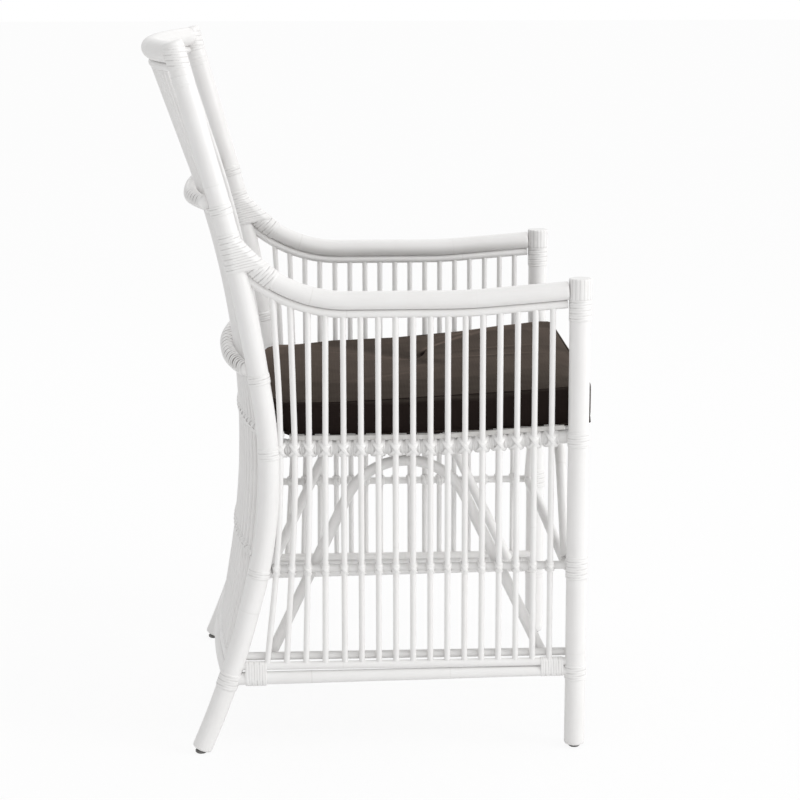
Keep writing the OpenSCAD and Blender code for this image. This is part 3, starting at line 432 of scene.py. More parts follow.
@dataclass
class Cane:
    """A pole of painted cane along a flat curve.

    The radius is the nominal one times one plus a slow waver, plus a low swelling at each growth ring.
    The ends turn over a short quarter round.
    """

    line: np.ndarray
    up: np.ndarray
    diameter: float
    seed: int
    end_diameter: float | None = None
    ring_gap: float = 0.21
    ring_depth: float = 0.6
    sides: int = 20
    step: float = 0.004
    round_end: float = 0.25

    def stations(self, walked: np.ndarray, centres: np.ndarray, r_end: float) -> np.ndarray:
        """Places along the pole where its surface is cut: closer at each growth ring and at both ends.

        Args:
            walked: length walked at each of the path's even steps.
            centres: places of the growth rings.
            r_end: radius of the quarter round at the ends.

        Returns:
            The places, from 0 to the pole's length.
        """
        length = walked[-1]
        near = np.array([-3, -1.6, -0.8, 0, 0.8, 1.6, 3]) * MM
        ends = r_end * (1 - np.cos(np.linspace(0.12, 0.5, 4) * math.pi))
        at = np.concatenate([walked, *(c + near for c in centres), ends, length - ends])
        at = np.unique(np.clip(at, 0, length))
        return at[np.concatenate([[True], np.diff(at) > 0.2 * MM])]

    def knuckles(self, at: np.ndarray, centres: np.ndarray,
                 rng: np.random.Generator) -> tuple[np.ndarray, np.ndarray]:
        """Swelling, as a share of the radius, and mark of the growth rings at each place.

        Args:
            at: places along the pole.
            centres: places of the growth rings.
            rng: the pole's source of random numbers.

        Returns:
            The swelling and the mark at each place.
        """
        swell, mark = np.zeros_like(at), np.zeros_like(at)
        for c in centres:
            d = (at - c) / MM
            deep = self.ring_depth * rng.uniform(0.3, 1.0)
            swell += deep * (0.026 * np.exp(-np.square((d - 2.5) / 5)) - 0.02 * np.exp(-np.square(d / 0.9)))
            mark += deep * np.exp(-np.square(d / 0.8))
        return swell, mark

    def rings(self) -> tuple[np.ndarray, np.ndarray]:
        """Works out the surface.

        Returns:
            Points of shape (rings, sides, 3) and the growth-ring mark of each.
        """
        rng = np.random.default_rng(self.seed)
        line = even_steps(self.line, self.step)
        walked = arc_length(line)
        length = walked[-1]
        r0, r1 = self.diameter / 2, (self.end_diameter or self.diameter) / 2
        centres = np.arange(rng.uniform(0.3, 1.0) * self.ring_gap, length, self.ring_gap)
        centres = centres + rng.uniform(-0.15, 0.15, len(centres)) * self.ring_gap
        r_end = self.round_end * min(r0, r1)
        at = self.stations(walked, centres, r_end)
        pts = np.stack([np.interp(at, walked, line[:, k]) for k in range(3)], axis=1)
        n, b = frames_along(pts, self.up)
        phase = rng.uniform(0, 6.3, 3)
        waver = 0.008 * np.sin(at * 17 + phase[0]) + 0.006 * np.sin(at * 41 + phase[1])
        swell, mark = self.knuckles(at, centres, rng)
        r = (r0 + (r1 - r0) * at / length) * (1 + waver + swell)
        edge = np.minimum(at, length - at)
        close = np.clip(edge / max(r_end, 1e-6), 0, 1)
        r = r - r_end * (1 - np.sqrt(np.clip(1 - np.square(1 - close), 0, 1)))
        a = np.arange(self.sides) / self.sides * 2 * math.pi
        oval = 1 + 0.012 * np.cos(2 * a[None, :] + phase[2] + 3 * at[:, None])
        rr = r[:, None] * oval
        rings = (pts[:, None, :] + rr[..., None] * (np.cos(a)[None, :, None] * n[:, None, :]
                                                    + np.sin(a)[None, :, None] * b[:, None, :]))
        return rings, np.repeat(mark[:, None], self.sides, axis=1)

    def add_to(self, skin: Skin) -> None:
        """Adds this pole to a mesh.

        Args:
            skin: the mesh.
        """
        rings, mark = self.rings()
        tone = np.random.default_rng(self.seed + 7919).uniform(0, 1)
        skin.add_tube(rings, mark, float(tone), math.pi * self.diameter)


@dataclass
class Winding:
    """Flat peel wound edge to edge round one or more poles that run side by side.

    The section is the hull of the poles' circles, the last of which may drift away along the run. Along
    the run the surface rises over each turn as one minus a power of the distance from the turn's middle,
    which leaves a groove between two turns. The turns climb one pitch a lap, and a skew leans them along
    the run on one side. A dome closes both ends over a quarter of an ellipse.
    """

    line: np.ndarray
    up: np.ndarray
    circles: list[tuple[float, float, float]]
    pitch: float = 0.0036
    height: float = 0.0010
    flat: float = 4.0
    skew: float = 0.0
    # Strength of the painted shade in the grooves between turns.
    dark: float = 0.8
    dome: float = 0.0
    seed: int = 0
    steps: int = 32
    drift: np.ndarray | None = None

    def rings(self) -> tuple[np.ndarray, np.ndarray]:
        """Works out the surface.

        Returns:
            Points of shape (rings, steps, 3) and, for each, how deep it lies between two turns.
        """
        line = even_steps(self.line, min(self.pitch / 8, 0.0008))
        s = arc_length(line)
        n, b = frames_along(line, self.up)
        a = np.arange(self.steps) / self.steps * 2 * math.pi
        ca, sa = np.cos(a), np.sin(a)
        c = np.tile(np.array(self.circles, float), (len(line), 1, 1))
        if self.drift is not None:
            c[:, -1, 0] += np.interp(s, np.linspace(0, s[-1], len(self.drift)), self.drift)
        reach = c[..., 0, None] * ca + c[..., 1, None] * sa + c[..., 2, None]
        k = np.argmax(reach, axis=1)
        c0, c1, c2 = (np.take_along_axis(c[..., axis], k, axis=1) for axis in range(3))
        lap = a / (2 * math.pi)
        start = np.random.default_rng(self.seed).uniform()
        phase = (s[:, None] + self.skew * ca[None, :]) / self.pitch - lap[None, :] + start
        phase = phase + 0.10 * np.sin(2 * a[None, :] + 3.1 * np.floor(phase)) + 0.05 * np.sin(a)[None, :]
        turn = np.floor(phase)
        f = phase - turn
        bulge = 1 - np.abs(2 * f - 1) ** self.flat
        loose = 0.14 * np.sin(turn * 12.9898 + self.seed) + 0.10 * (f - 0.5) * np.sin(turn * 7.3)
        rise = self.height * (0.45 + 0.55 * bulge + loose)
        edge = np.minimum(s, s[-1] - s)
        rise = rise * np.clip(edge / (0.4 * self.pitch), 0, 1)[:, None] ** 0.5
        rise[[0, -1]] = -0.08 * c[0, :, 2].min()
        out = c2 + rise
        if self.dome:
            out = out * np.sqrt(1 - np.square(1 - np.clip(edge / self.dome, 0.02, 1)))[:, None]
        rings = (line[:, None, :] + c0[..., None] * n[:, None, :] + c1[..., None] * b[:, None, :]
                 + out[..., None] * (ca[None, :, None] * n[:, None, :] + sa[None, :, None] * b[:, None, :]))
        # The mark paints shade into the grooves between turns, scaled by dark, and fades in at both ends.
        return rings, (1 - bulge) * self.dark * np.clip(edge / self.pitch, 0, 1)[:, None]

    def add_to(self, skin: Skin) -> None:
        """Adds this winding to a mesh.

        Args:
            skin: the mesh.
        """
        rings, mark = self.rings()
        tone = np.random.default_rng(self.seed + 104729).uniform(0, 1)
        skin.add_tube(rings, mark, float(tone), 2 * math.pi * self.circles[0][2])


@dataclass
class Strap:
    """A bundle of flat strands that goes once round two poles that cross.

    The loop is an ellipse in the plane of two directions. Its section is a flat oval whose outer side
    rises over each of the strands as one minus the fourth power of the distance from its middle.
    """

    centre: np.ndarray
    out: np.ndarray
    across: np.ndarray
    half_out: float
    half_across: float
    width: float
    seed: int
    height: float = 0.0011
    strands: int = 2
    steps: int = 22
    sides: int = 14

    def add_to(self, skin: Skin) -> None:
        """Adds this strap to a mesh.

        Args:
            skin: the mesh.
        """
        t = np.arange(self.steps) / self.steps * 2 * math.pi
        ct, st = np.cos(t)[:, None], np.sin(t)[:, None]
        line = self.centre + self.half_out * ct * self.out + self.half_across * st * self.across
        normal = self.half_across * ct * self.out + self.half_out * st * self.across
        normal /= np.linalg.norm(normal, axis=1)[:, None]
        side = np.cross(self.out, self.across)
        a = np.arange(self.sides) / self.sides * 2 * math.pi
        f = ((np.cos(a) * 0.5 + 0.5) * self.strands * 0.999) % 1
        bulge = 1 - np.abs(2 * f - 1) ** 4
        lift = np.where(np.sin(a) > 0, (0.35 + 0.65 * bulge) * np.abs(np.sin(a)) ** 0.4,
                        -0.6 * np.abs(np.sin(a)) ** 0.5) * self.height
        rings = (line[:, None, :] + (np.cos(a) * self.width / 2)[None, :, None] * side
                 + lift[None, :, None] * normal[:, None, :])
        # Painted shade: the mark darkens the outer side between the strands.
        mark = np.repeat(((1 - bulge) * (np.sin(a) > 0))[None, :], len(line), axis=0)
        skin.add_loop(rings[:, ::-1], mark[:, ::-1], float(np.random.default_rng(self.seed).uniform()),
                      self.width * 2)


# Finishes


class Value:
    """A shader socket that takes part in sums. Numbers stay numbers until they meet one."""

    def __init__(self, graph: "Graph", socket: bpy.types.NodeSocket) -> None:
        """Keeps the graph and the socket."""
        self.graph = graph
        self.socket = socket

    def _math(self, operation: str, *values: "Value | float") -> "Value":
        """Adds one Math node."""
        return self.graph.node("ShaderNodeMath", {"operation": operation}, dict(enumerate(values)))

    def __add__(self, other: "Value | float") -> "Value":
        """Sum."""
        return self._math("ADD", self, other)

    __radd__ = __add__

    def __sub__(self, other: "Value | float") -> "Value":
        """Difference."""
        return self._math("SUBTRACT", self, other)

    def __rsub__(self, other: float) -> "Value":
        """Difference from a number."""
        return self._math("SUBTRACT", other, self)

    def __mul__(self, other: "Value | float") -> "Value":
        """Product."""
        return self._math("MULTIPLY", self, other)

    __rmul__ = __mul__

    def __pow__(self, other: float) -> "Value":
        """Power."""
        return self._math("POWER", self, other)

    def clamp(self) -> "Value":
        """This value kept between 0 and 1."""
        return self.graph.node("ShaderNodeClamp", {}, {0: self, 1: 0.0, 2: 1.0})


class Graph:
    """A tree of shader nodes."""

    def __init__(self, tree: bpy.types.NodeTree) -> None:
        """Keeps the tree."""
        self.tree = tree

    def node(self, kind: str, settings: dict, inputs: dict, output: int | str = 0) -> Value:
        """Adds a node.

        Args:
            kind: the node's type.
            settings: its properties, set before its sockets.
            inputs: values or links of its sockets, by index or name.
            output: which output to hand back.

        Returns:
            The output as a value.
        """
        made = self.tree.nodes.new(kind)
        for key, value in settings.items():
            setattr(made, key, value)
        for key, value in inputs.items():
            if isinstance(value, Value):
                self.tree.links.new(value.socket, made.inputs[key])
            else:
                made.inputs[key].default_value = value
        return Value(self, made.outputs[output])

    def attribute(self, name: str) -> Value:
        """A mesh attribute's number."""
        return self.node("ShaderNodeAttribute", {"attribute_name": name}, {}, "Fac")

    def coordinates(self, scale: tuple[float, float, float], uv: bool) -> Value:
        """Scaled Object coordinates, or the piece's own UV map.

        Args:
            scale: the scale along each axis.
            uv: whether the UV map is read.

        Returns:
            The coordinates.
        """
        source = (self.node("ShaderNodeUVMap", {"uv_map": "grain"}, {}) if uv
                  else self.node("ShaderNodeTexCoord", {}, {}, "Object"))
        return self.node("ShaderNodeMapping", {}, {"Vector": source, "Scale": scale})

    def noise(self, vector: Value, scale: float, detail: float) -> Value:
        """Noise between 0 and 1."""
        return self.node("ShaderNodeTexNoise", {}, {"Vector": vector, "Scale": scale, "Detail": detail,
                                                    "Roughness": 0.55}, "Fac")

    def blend(self, factor: Value | float, a: tuple | Value, b: tuple | Value) -> Value:
        """Mixes two colours.

        Args:
            factor: share of the second colour.
            a: the first colour, as red, green and blue or a value.
            b: the second colour.

        Returns:
            The mixed colour.
        """
        first, second = ((*colour, 1.0) if isinstance(colour, tuple) else colour for colour in (a, b))
        return self.node("ShaderNodeMix", {"data_type": "RGBA"}, {0: factor, 6: first, 7: second}, 2)

    def bump(self, height: Value, strength: float, distance: float) -> Value:
        """A normal from a height."""
        return self.node("ShaderNodeBump", {}, {"Height": height, "Strength": strength, "Distance": distance})

    def show(self, surface: Value, end: str) -> None:
        """Links a surface to the tree's output node of that name."""
        self.tree.links.new(surface.socket, self.tree.nodes[end].inputs["Surface"])


class Paint(Graph):
    """One material's nodes, with the Principled shader that they feed."""

    def __init__(self, name: str) -> None:
        """Starts the material.

        Args:
            name: the material's name.
        """
        self.material = bpy.data.materials.new(name)
        self.material.use_nodes = True
        super().__init__(self.material.node_tree)
        self.shader = self.tree.nodes["Principled BSDF"]

    def feed(self, **sockets: Value | float | tuple) -> None:
        """Sets or links sockets of the main shader, named with underscores for spaces.

        Args:
            sockets: a number, a colour or a value for each.
        """
        for key, value in sockets.items():
            socket = self.shader.inputs[key.replace("_", " ")]
            if isinstance(value, Value):
                self.tree.links.new(value.socket, socket)
            else:
                socket.default_value = (*value, 1.0) if isinstance(value, tuple) else value


@dataclass(frozen=True)
class PaintedCane:
    """White satin paint over cane: fibre along the pole, and a faint dark line at each growth ring."""

    name: str = "painted_cane"
    light: tuple[float, float, float] = (0.85, 0.845, 0.84)
    shade: tuple[float, float, float] = (0.76, 0.745, 0.73)
    line: tuple[float, float, float] = (0.46, 0.43, 0.40)
    roughness: float = 0.36

    def make(self) -> bpy.types.Material:
        """Builds the material.

        Returns:
            The material.
        """
        g = Paint(self.name)
        fibre = g.noise(g.coordinates((620.0, 14.0, 1.0), True), 1.0, 4.0)
        cloud = g.noise(g.coordinates((1.0, 1.0, 1.0), False), 22.0, 3.0)
        mark, tone = g.attribute("mark"), g.attribute("tone")
        worn = ((fibre - 0.5) * 0.5 + (cloud - 0.5) * 0.6 + (tone - 0.5) * 0.25 + 0.3).clamp()
        colour = g.blend(worn, self.light, self.shade)
        colour = g.blend((mark * (cloud * 1.1)).clamp() * 0.55, colour, self.line)
        g.feed(Base_Color=colour, Roughness=(cloud * 0.22 + self.roughness - 0.08).clamp(),
               Normal=g.bump(fibre * 0.5 + cloud * 0.5 - mark * 0.6, 0.22, 0.0006),
               Coat_Weight=0.12, Coat_Roughness=0.25)
        return g.material


@dataclass(frozen=True)
class PaintedPeel:
    """White paint over flat peel: fibre along the strip, and painted shade in the grooves between the turns.
    """

    name: str = "painted_peel"
    light: tuple[float, float, float] = (0.85, 0.845, 0.84)
    shade: tuple[float, float, float] = (0.77, 0.755, 0.74)
    # Painted shade: this near-black colour stands in for the shade in the grooves between turns.
    groove: tuple[float, float, float] = (0.13, 0.11, 0.10)
    roughness: float = 0.34

    def make(self) -> bpy.types.Material:
        """Builds the material.

        Returns:
            The material.
        """
        g = Paint(self.name)
        fibre = g.noise(g.coordinates((30.0, 900.0, 1.0), True), 1.0, 3.0)
        cloud = g.noise(g.coordinates((1.0, 1.0, 1.0), False), 60.0, 3.0)
        # Painted shade: the mark, high down between two turns, darkens the grooves towards the groove colour.
        deep = g.attribute("mark") ** 2.4
        worn = ((fibre - 0.5) * 0.5 + (cloud - 0.5) * 0.8 + 0.3).clamp()
        colour = g.blend(worn, self.light, self.shade)
        colour = g.blend((deep * 0.92).clamp(), colour, self.groove)
        g.feed(Base_Color=colour, Roughness=(cloud * 0.2 + self.roughness - 0.08).clamp(),
               Normal=g.bump(fibre * 0.6 + cloud * 0.4, 0.2, 0.0005), Coat_Weight=0.15, Coat_Roughness=0.25)
        return g.material


@dataclass(frozen=True)
class CharcoalCloth:
    """Smooth matt charcoal cloth with a fine plain weave, and painted light and sheen that make its upper
    side paler.
    """

    name: str = "plain_weave"
    light: tuple[float, float, float] = (0.0260, 0.0190, 0.0168)
    shade: tuple[float, float, float] = (0.0190, 0.0139, 0.0123)
    # Painted light and sheen: the colour of upward faces, far paler than the sides, stands in for light from
    # above and grazing sheen.
    upper: tuple[float, float, float] = (0.0748, 0.0621, 0.0529)
    threads_per_metre: float = 1500.0

    def make(self) -> bpy.types.Material:
        """Builds the material.

        Returns:
            The material.
        """
        g = Paint(self.name)
        flat = g.coordinates((1.0, 1.0, 1.0), False)
        cloud = g.noise(flat, 30.0, 4.0)
        fuzz = g.noise(flat, 700.0, 2.0)
        waves = [g.node("ShaderNodeTexWave", {"wave_type": "BANDS", "bands_direction": axis},
                        {"Vector": flat, "Scale": self.threads_per_metre / 20, "Distortion": 0.6,
                         "Detail": 1.0}, "Fac") for axis in ("X", "Y", "Z")]
        weave = (waves[0] + waves[1] + waves[2]) * (1 / 3)
        colour = g.blend(((cloud - 0.5) * 0.9 + (fuzz - 0.5) * 0.5 + weave * 0.35 + 0.25).clamp(),
                         self.light, self.shade)
        # Painted light and sheen: faces that point up blend towards the paler top colour, mottled by the
        # cloud and weave.
        upward = g.node("ShaderNodeSeparateXYZ", {},
                        {"Vector": g.node("ShaderNodeNewGeometry", {}, {}, "Normal")}, "Z")
        painted_top_light = g.blend((cloud * 0.4 + weave * 0.3 - 0.15).clamp(), self.upper, self.light)
        colour = g.blend(((upward - 0.3) * 1.8).clamp(), colour, painted_top_light)
        g.feed(Base_Color=colour, Roughness=(cloud * 0.15 + 0.72).clamp(),
               Normal=g.bump(weave * 0.7 + fuzz * 0.5, 0.25, 0.0004),
               Specular_IOR_Level=0.0, Sheen_Weight=0.27, Sheen_Roughness=0.2, Sheen_Tint=(0.66, 0.50, 0.42))
        return g.material


@dataclass(frozen=True)
class PaintedSlat:
    """White paint over plain wood, with grain along the slat."""

    name: str = "painted_slat"
    light: tuple[float, float, float] = (0.83, 0.82, 0.80)
    shade: tuple[float, float, float] = (0.69, 0.67, 0.64)

    def make(self) -> bpy.types.Material:
        """Builds the material.

        Returns:
            The material.
        """
        g = Paint(self.name)
        grain = g.noise(g.coordinates((6.0, 160.0, 160.0), False), 1.0, 5.0)
        cloud = g.noise(g.coordinates((1.0, 1.0, 1.0), False), 30.0, 3.0)
        colour = g.blend(((grain - 0.5) * 1.2 + 0.35).clamp(), self.light, self.shade)
        g.feed(Base_Color=colour, Roughness=(cloud * 0.2 + 0.35).clamp(),
               Normal=g.bump(grain * 0.7 + cloud * 0.3, 0.25, 0.0005))
        return g.material


@dataclass(frozen=True)
class DarkPlastic:
    """Scuffed dark plastic of the glides."""

    name: str = "moulded_glide"

    def make(self) -> bpy.types.Material:
        """Builds the material.

        Returns:
            The material.
        """
        g = Paint(self.name)
        scuff = g.noise(g.coordinates((1.0, 1.0, 1.0), False), 420.0, 4.0)
        g.feed(Base_Color=g.blend(scuff, (0.10, 0.10, 0.10), (0.22, 0.21, 0.20)),
               Roughness=(scuff * 0.35 + 0.4).clamp(), Normal=g.bump(scuff, 0.2, 0.0003))
        return g.material


@dataclass(frozen=True)
class ScrewSteel:
    """Plated steel of the hidden screws."""

    name: str = "plated_screw"

    def make(self) -> bpy.types.Material:
        """Builds the material.

        Returns:
            The material.
        """
        g = Paint(self.name)
        brushed = g.noise(g.coordinates((900.0, 60.0, 900.0), False), 1.0, 3.0)
        g.feed(Base_Color=g.blend(brushed, (0.62, 0.61, 0.58), (0.45, 0.44, 0.42)), Metallic=1.0,
               Roughness=(brushed * 0.25 + 0.28).clamp(), Normal=g.bump(brushed, 0.1, 0.0002))
        return g.material


class Finish(Enum):
    """The chair's finishes, each made once."""

    CANE = PaintedCane()
    PEEL = PaintedPeel()
    CLOTH = CharcoalCloth()
    SLAT = PaintedSlat()
    GLIDE = DarkPlastic()
    STEEL = ScrewSteel()

    @cache
    def material(self) -> bpy.types.Material:
        """The finish's material, built at its first use."""
        return self.value.make()


def dress(obj: bpy.types.Object, finish: Finish, slot: str | None = None, *nodes: str) -> bpy.types.Object:
    """Gives a piece its finish and body, and hides the solids that it stands for.

    Args:
        obj: the piece.
        finish: its finish.
        slot: the record's material slot, which is not used.
        nodes: the solids that it replaces.

    Returns:
        The piece.
    """
    obj.data.materials.clear()
    obj.data.materials.append(finish.material())
    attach(obj, "root")
    if nodes:
        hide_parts(*nodes)
    LOG.info("%s: %d faces", obj.name, len(obj.data.polygons))
    return obj


# The frame of poles


def cane_piece(name: str, canes: list[Cane], *nodes: str) -> bpy.types.Object:
    """One piece of painted cane from one or more poles, standing for its nodes.

    Args:
        name: the piece's name.
        canes: its poles.
        nodes: the solids that it replaces.

    Returns:
        The piece.
    """
    skin = Skin()
    for cane in canes:
        cane.add_to(skin)
    return dress(skin.build(name), Finish.CANE, "white_rattan", *nodes)


def peel_piece(name: str, windings: list[Winding | Strap], *nodes: str) -> bpy.types.Object:
    """One piece of wound peel, standing for its nodes.

    Args:
        name: the piece's name.
        windings: its windings and straps.
        nodes: the solids that it replaces.

    Returns:
        The piece.
    """
    skin = Skin()
    for winding in windings:
        winding.add_to(skin)
    return dress(skin.build(name), Finish.PEEL, "white_peel", *nodes)


@dataclass
class SideFrame:
    """One side: legs, arm, liners, spindles, rails and the arch."""

    side: Side
    sizes: ChairSizes = SIZES
    seed: int = 11

    @property
    def base(self) -> int:
        """The number from which this side's canes take their seeds."""
        return self.seed * 100 + (50 if self.side is Side.LEFT else 0)

    def line(self, path: np.ndarray, inward: float = 0.0) -> np.ndarray:
        """A side-view path in the row's frame, moved inward from the side's own plane."""
        return side_line(path, self.side.value * (self.sizes.side_x - inward))

    @staticmethod
    def straight(y0: float, z0: float, y1: float, z1: float) -> np.ndarray:
        """A straight side-view path."""
        return np.array([[y0, z0], [y1, z1]], float)

    def spindle_paths(self) -> list[np.ndarray]:
        """Side-view paths of the spindles, from the bottom liner to the arm liner.

        Returns:
            One path for each spindle, from the front to the rear.
        """
        s = self.sizes
        out = []
        for i in range(s.side_spindles):
            y = s.first_spindle_y + s.spindle_pitch * i
            share = max(0, i - (s.side_spindles - 1 - s.bent_spindles)) / s.bent_spindles
            top = float(np.interp(y, LINER[:, 0], LINER[:, 1]))
            foot = y + s.spread * share
            if share == 0:
                out.append(self.straight(y, BOTTOM_LINER_Z, y, top))
            else:
                middle = y - 2 * s.bend_in * share**2 + s.spread * share
                out.append(smooth_path([(foot, BOTTOM_LINER_Z, 0), (middle, (BOTTOM_LINER_Z + top) / 2, 2000),
                                        (y, top, 0)], 6.0))
        return out

    def pole(self, name: str, node: str, path: np.ndarray, diameter: float, seed: int, inward: float = 0.0,
             **looks: float) -> None:
        """Builds one pole of this side.

        Args:
            name: the piece's name without its side.
            node: the solid's name without its side.
            path: its side-view path, in millimetres.
            diameter: its diameter in millimetres.
            seed: its own number among the side's canes.
            inward: how far inside the side's own plane it runs.
            looks: other values of its cane.
        """
        cane = Cane(self.line(path, inward), SIDE_UP, diameter * MM, self.base + seed, **looks)
        cane_piece(f"{name}_{self.side.word}", [cane], f"{node}_{self.side.word}")

    def spindles(self) -> None:
        """Builds the row of spindles."""
        s = self.sizes
        first = self.base + 400
        canes = [Cane(self.line(path), SIDE_UP, s.spindle_d * MM, first + i, sides=14, ring_gap=0.34,
                      ring_depth=0.3) for i, path in enumerate(self.spindle_paths())]
        cane_piece(f"side_spindle_row_{self.side.word}", canes, f"side_spindles_{self.side.word}")

    def between(self, path: np.ndarray) -> np.ndarray:
        """The stretch of an arm path from the front leg's peel to just inside the rear pole's axis.

        Args:
            path: side-view path of the arm or its liner.

        Returns:
            The points of that stretch.
        """
        s = self.sizes
        start, sunk = s.leg_d / 2 + s.peel + 0.1, 2
        return path[(path[:, 0] < post_y(path[:, 1]) - sunk) & (path[:, 0] > start)]

    def build(self) -> None:
        """Builds and dresses the side's poles."""
        s = self.sizes
        self.pole("rear_pole", "rear_leg", POST[POST[:, 1] >= s.glide_h], s.leg_d, 1, ring_gap=0.26, sides=32)
        self.pole("front_pole", "front_leg", self.straight(0, s.glide_h, 0, s.front_top), s.leg_d, 2,
                  ring_gap=0.24, sides=32)
        self.pole("arm_pole", "arm", self.between(ARM), s.arm_d, 3, ring_gap=0.23, sides=32, round_end=0.08)
        self.pole("arm_liner_cane", "arm_liner", self.between(LINER), s.thin_d, 4, round_end=0.12)
        self.spindles()
        rail = smooth_path([(s.seat_rail_d / 2, seat_rail_at(0), 0), (s.seat_rail_bend_y, s.seat_rail_z, 900),
                            (float(post_y(s.seat_rail_z)), s.seat_rail_z, 0)])
        self.pole("seat_rail_cane", "seat_side_rail", rail, s.seat_rail_d, 5, RAIL_IN, sides=24)
        mid = self.straight(s.stretcher_y, s.mid_rail_z, float(post_y(s.mid_rail_z)), s.mid_rail_z)
        self.pole("mid_rail_cane", "mid_side_rail", mid, s.thin_d, 6, THIN_IN)
        low = self.straight(0, s.bottom_rail_z + s.bottom_rail_rise, float(post_y(s.bottom_rail_z)),
                            s.bottom_rail_z)
        self.pole("bottom_rail_cane", "bottom_side_rail", low, s.bottom_front_d, 7,
                  end_diameter=s.bottom_rear_d * MM, sides=24)
        lining = self.straight(0, BOTTOM_LINER_Z, float(post_y(BOTTOM_LINER_Z)), BOTTOM_LINER_Z)
        self.pole("bottom_liner_cane", "bottom_liner", lining, s.thin_d, 8)
        inner_z, inner_start = BOTTOM_LINER_Z + s.thin_d, 5
        inner = self.straight(inner_start, inner_z, float(post_y(inner_z)), inner_z)
        self.pole("inner_rail_cane", "inner_bottom_rail", inner, s.thin_d, 9, THIN_IN)
        arch = smooth_path([(44, 128, 0), (174, 400, 95), (286, 400, 95), (416, 128, 0)])
        self.pole("arch_cane", "side_arch", arch, s.brace_d, 10, ARCH_IN, sides=24)


@dataclass
class FrontFrame:
    """The poles across the front."""

    sizes: ChairSizes = SIZES
    seed: int = 31

    def build(self) -> None:
        """Builds and dresses the poles."""
        s = self.sizes
        rail_z = float(seat_rail_at(0))
        across = np.array([[-s.side_x, rail_z], [s.side_x, rail_z]])
        cane_piece("front_rail_cane", [Cane(front_line(across, 0), FRONT_UP, s.seat_rail_d * MM, self.seed,
                                            sides=24)], "front_seat_rail")
        end_x = s.side_x - 5
        stretcher = np.array([[-end_x, s.mid_rail_z], [end_x, s.mid_rail_z]])
        cane_piece("front_stretcher_cane", [Cane(front_line(stretcher, s.stretcher_y), FRONT_UP,
                                                 s.brace_d * MM, self.seed + 1, sides=24)], "front_stretcher")
        foot_x = s.side_x - s.leg_d / 2 - s.brace_d / 2 - s.air
        foot_z = s.mid_rail_z + s.brace_d / 2 + s.air
        top = rail_z - s.seat_rail_d / 2 - s.brace_d / 2 - s.air
        arch = smooth_path([(-foot_x, foot_z, 0), (-150, top, 95), (150, top, 95), (foot_x, foot_z, 0)])
        cane_piece("front_arch_cane", [Cane(front_line(arch, s.stretcher_y), FRONT_UP, s.brace_d * MM,
                                            self.seed + 2, sides=24)], "front_arch")


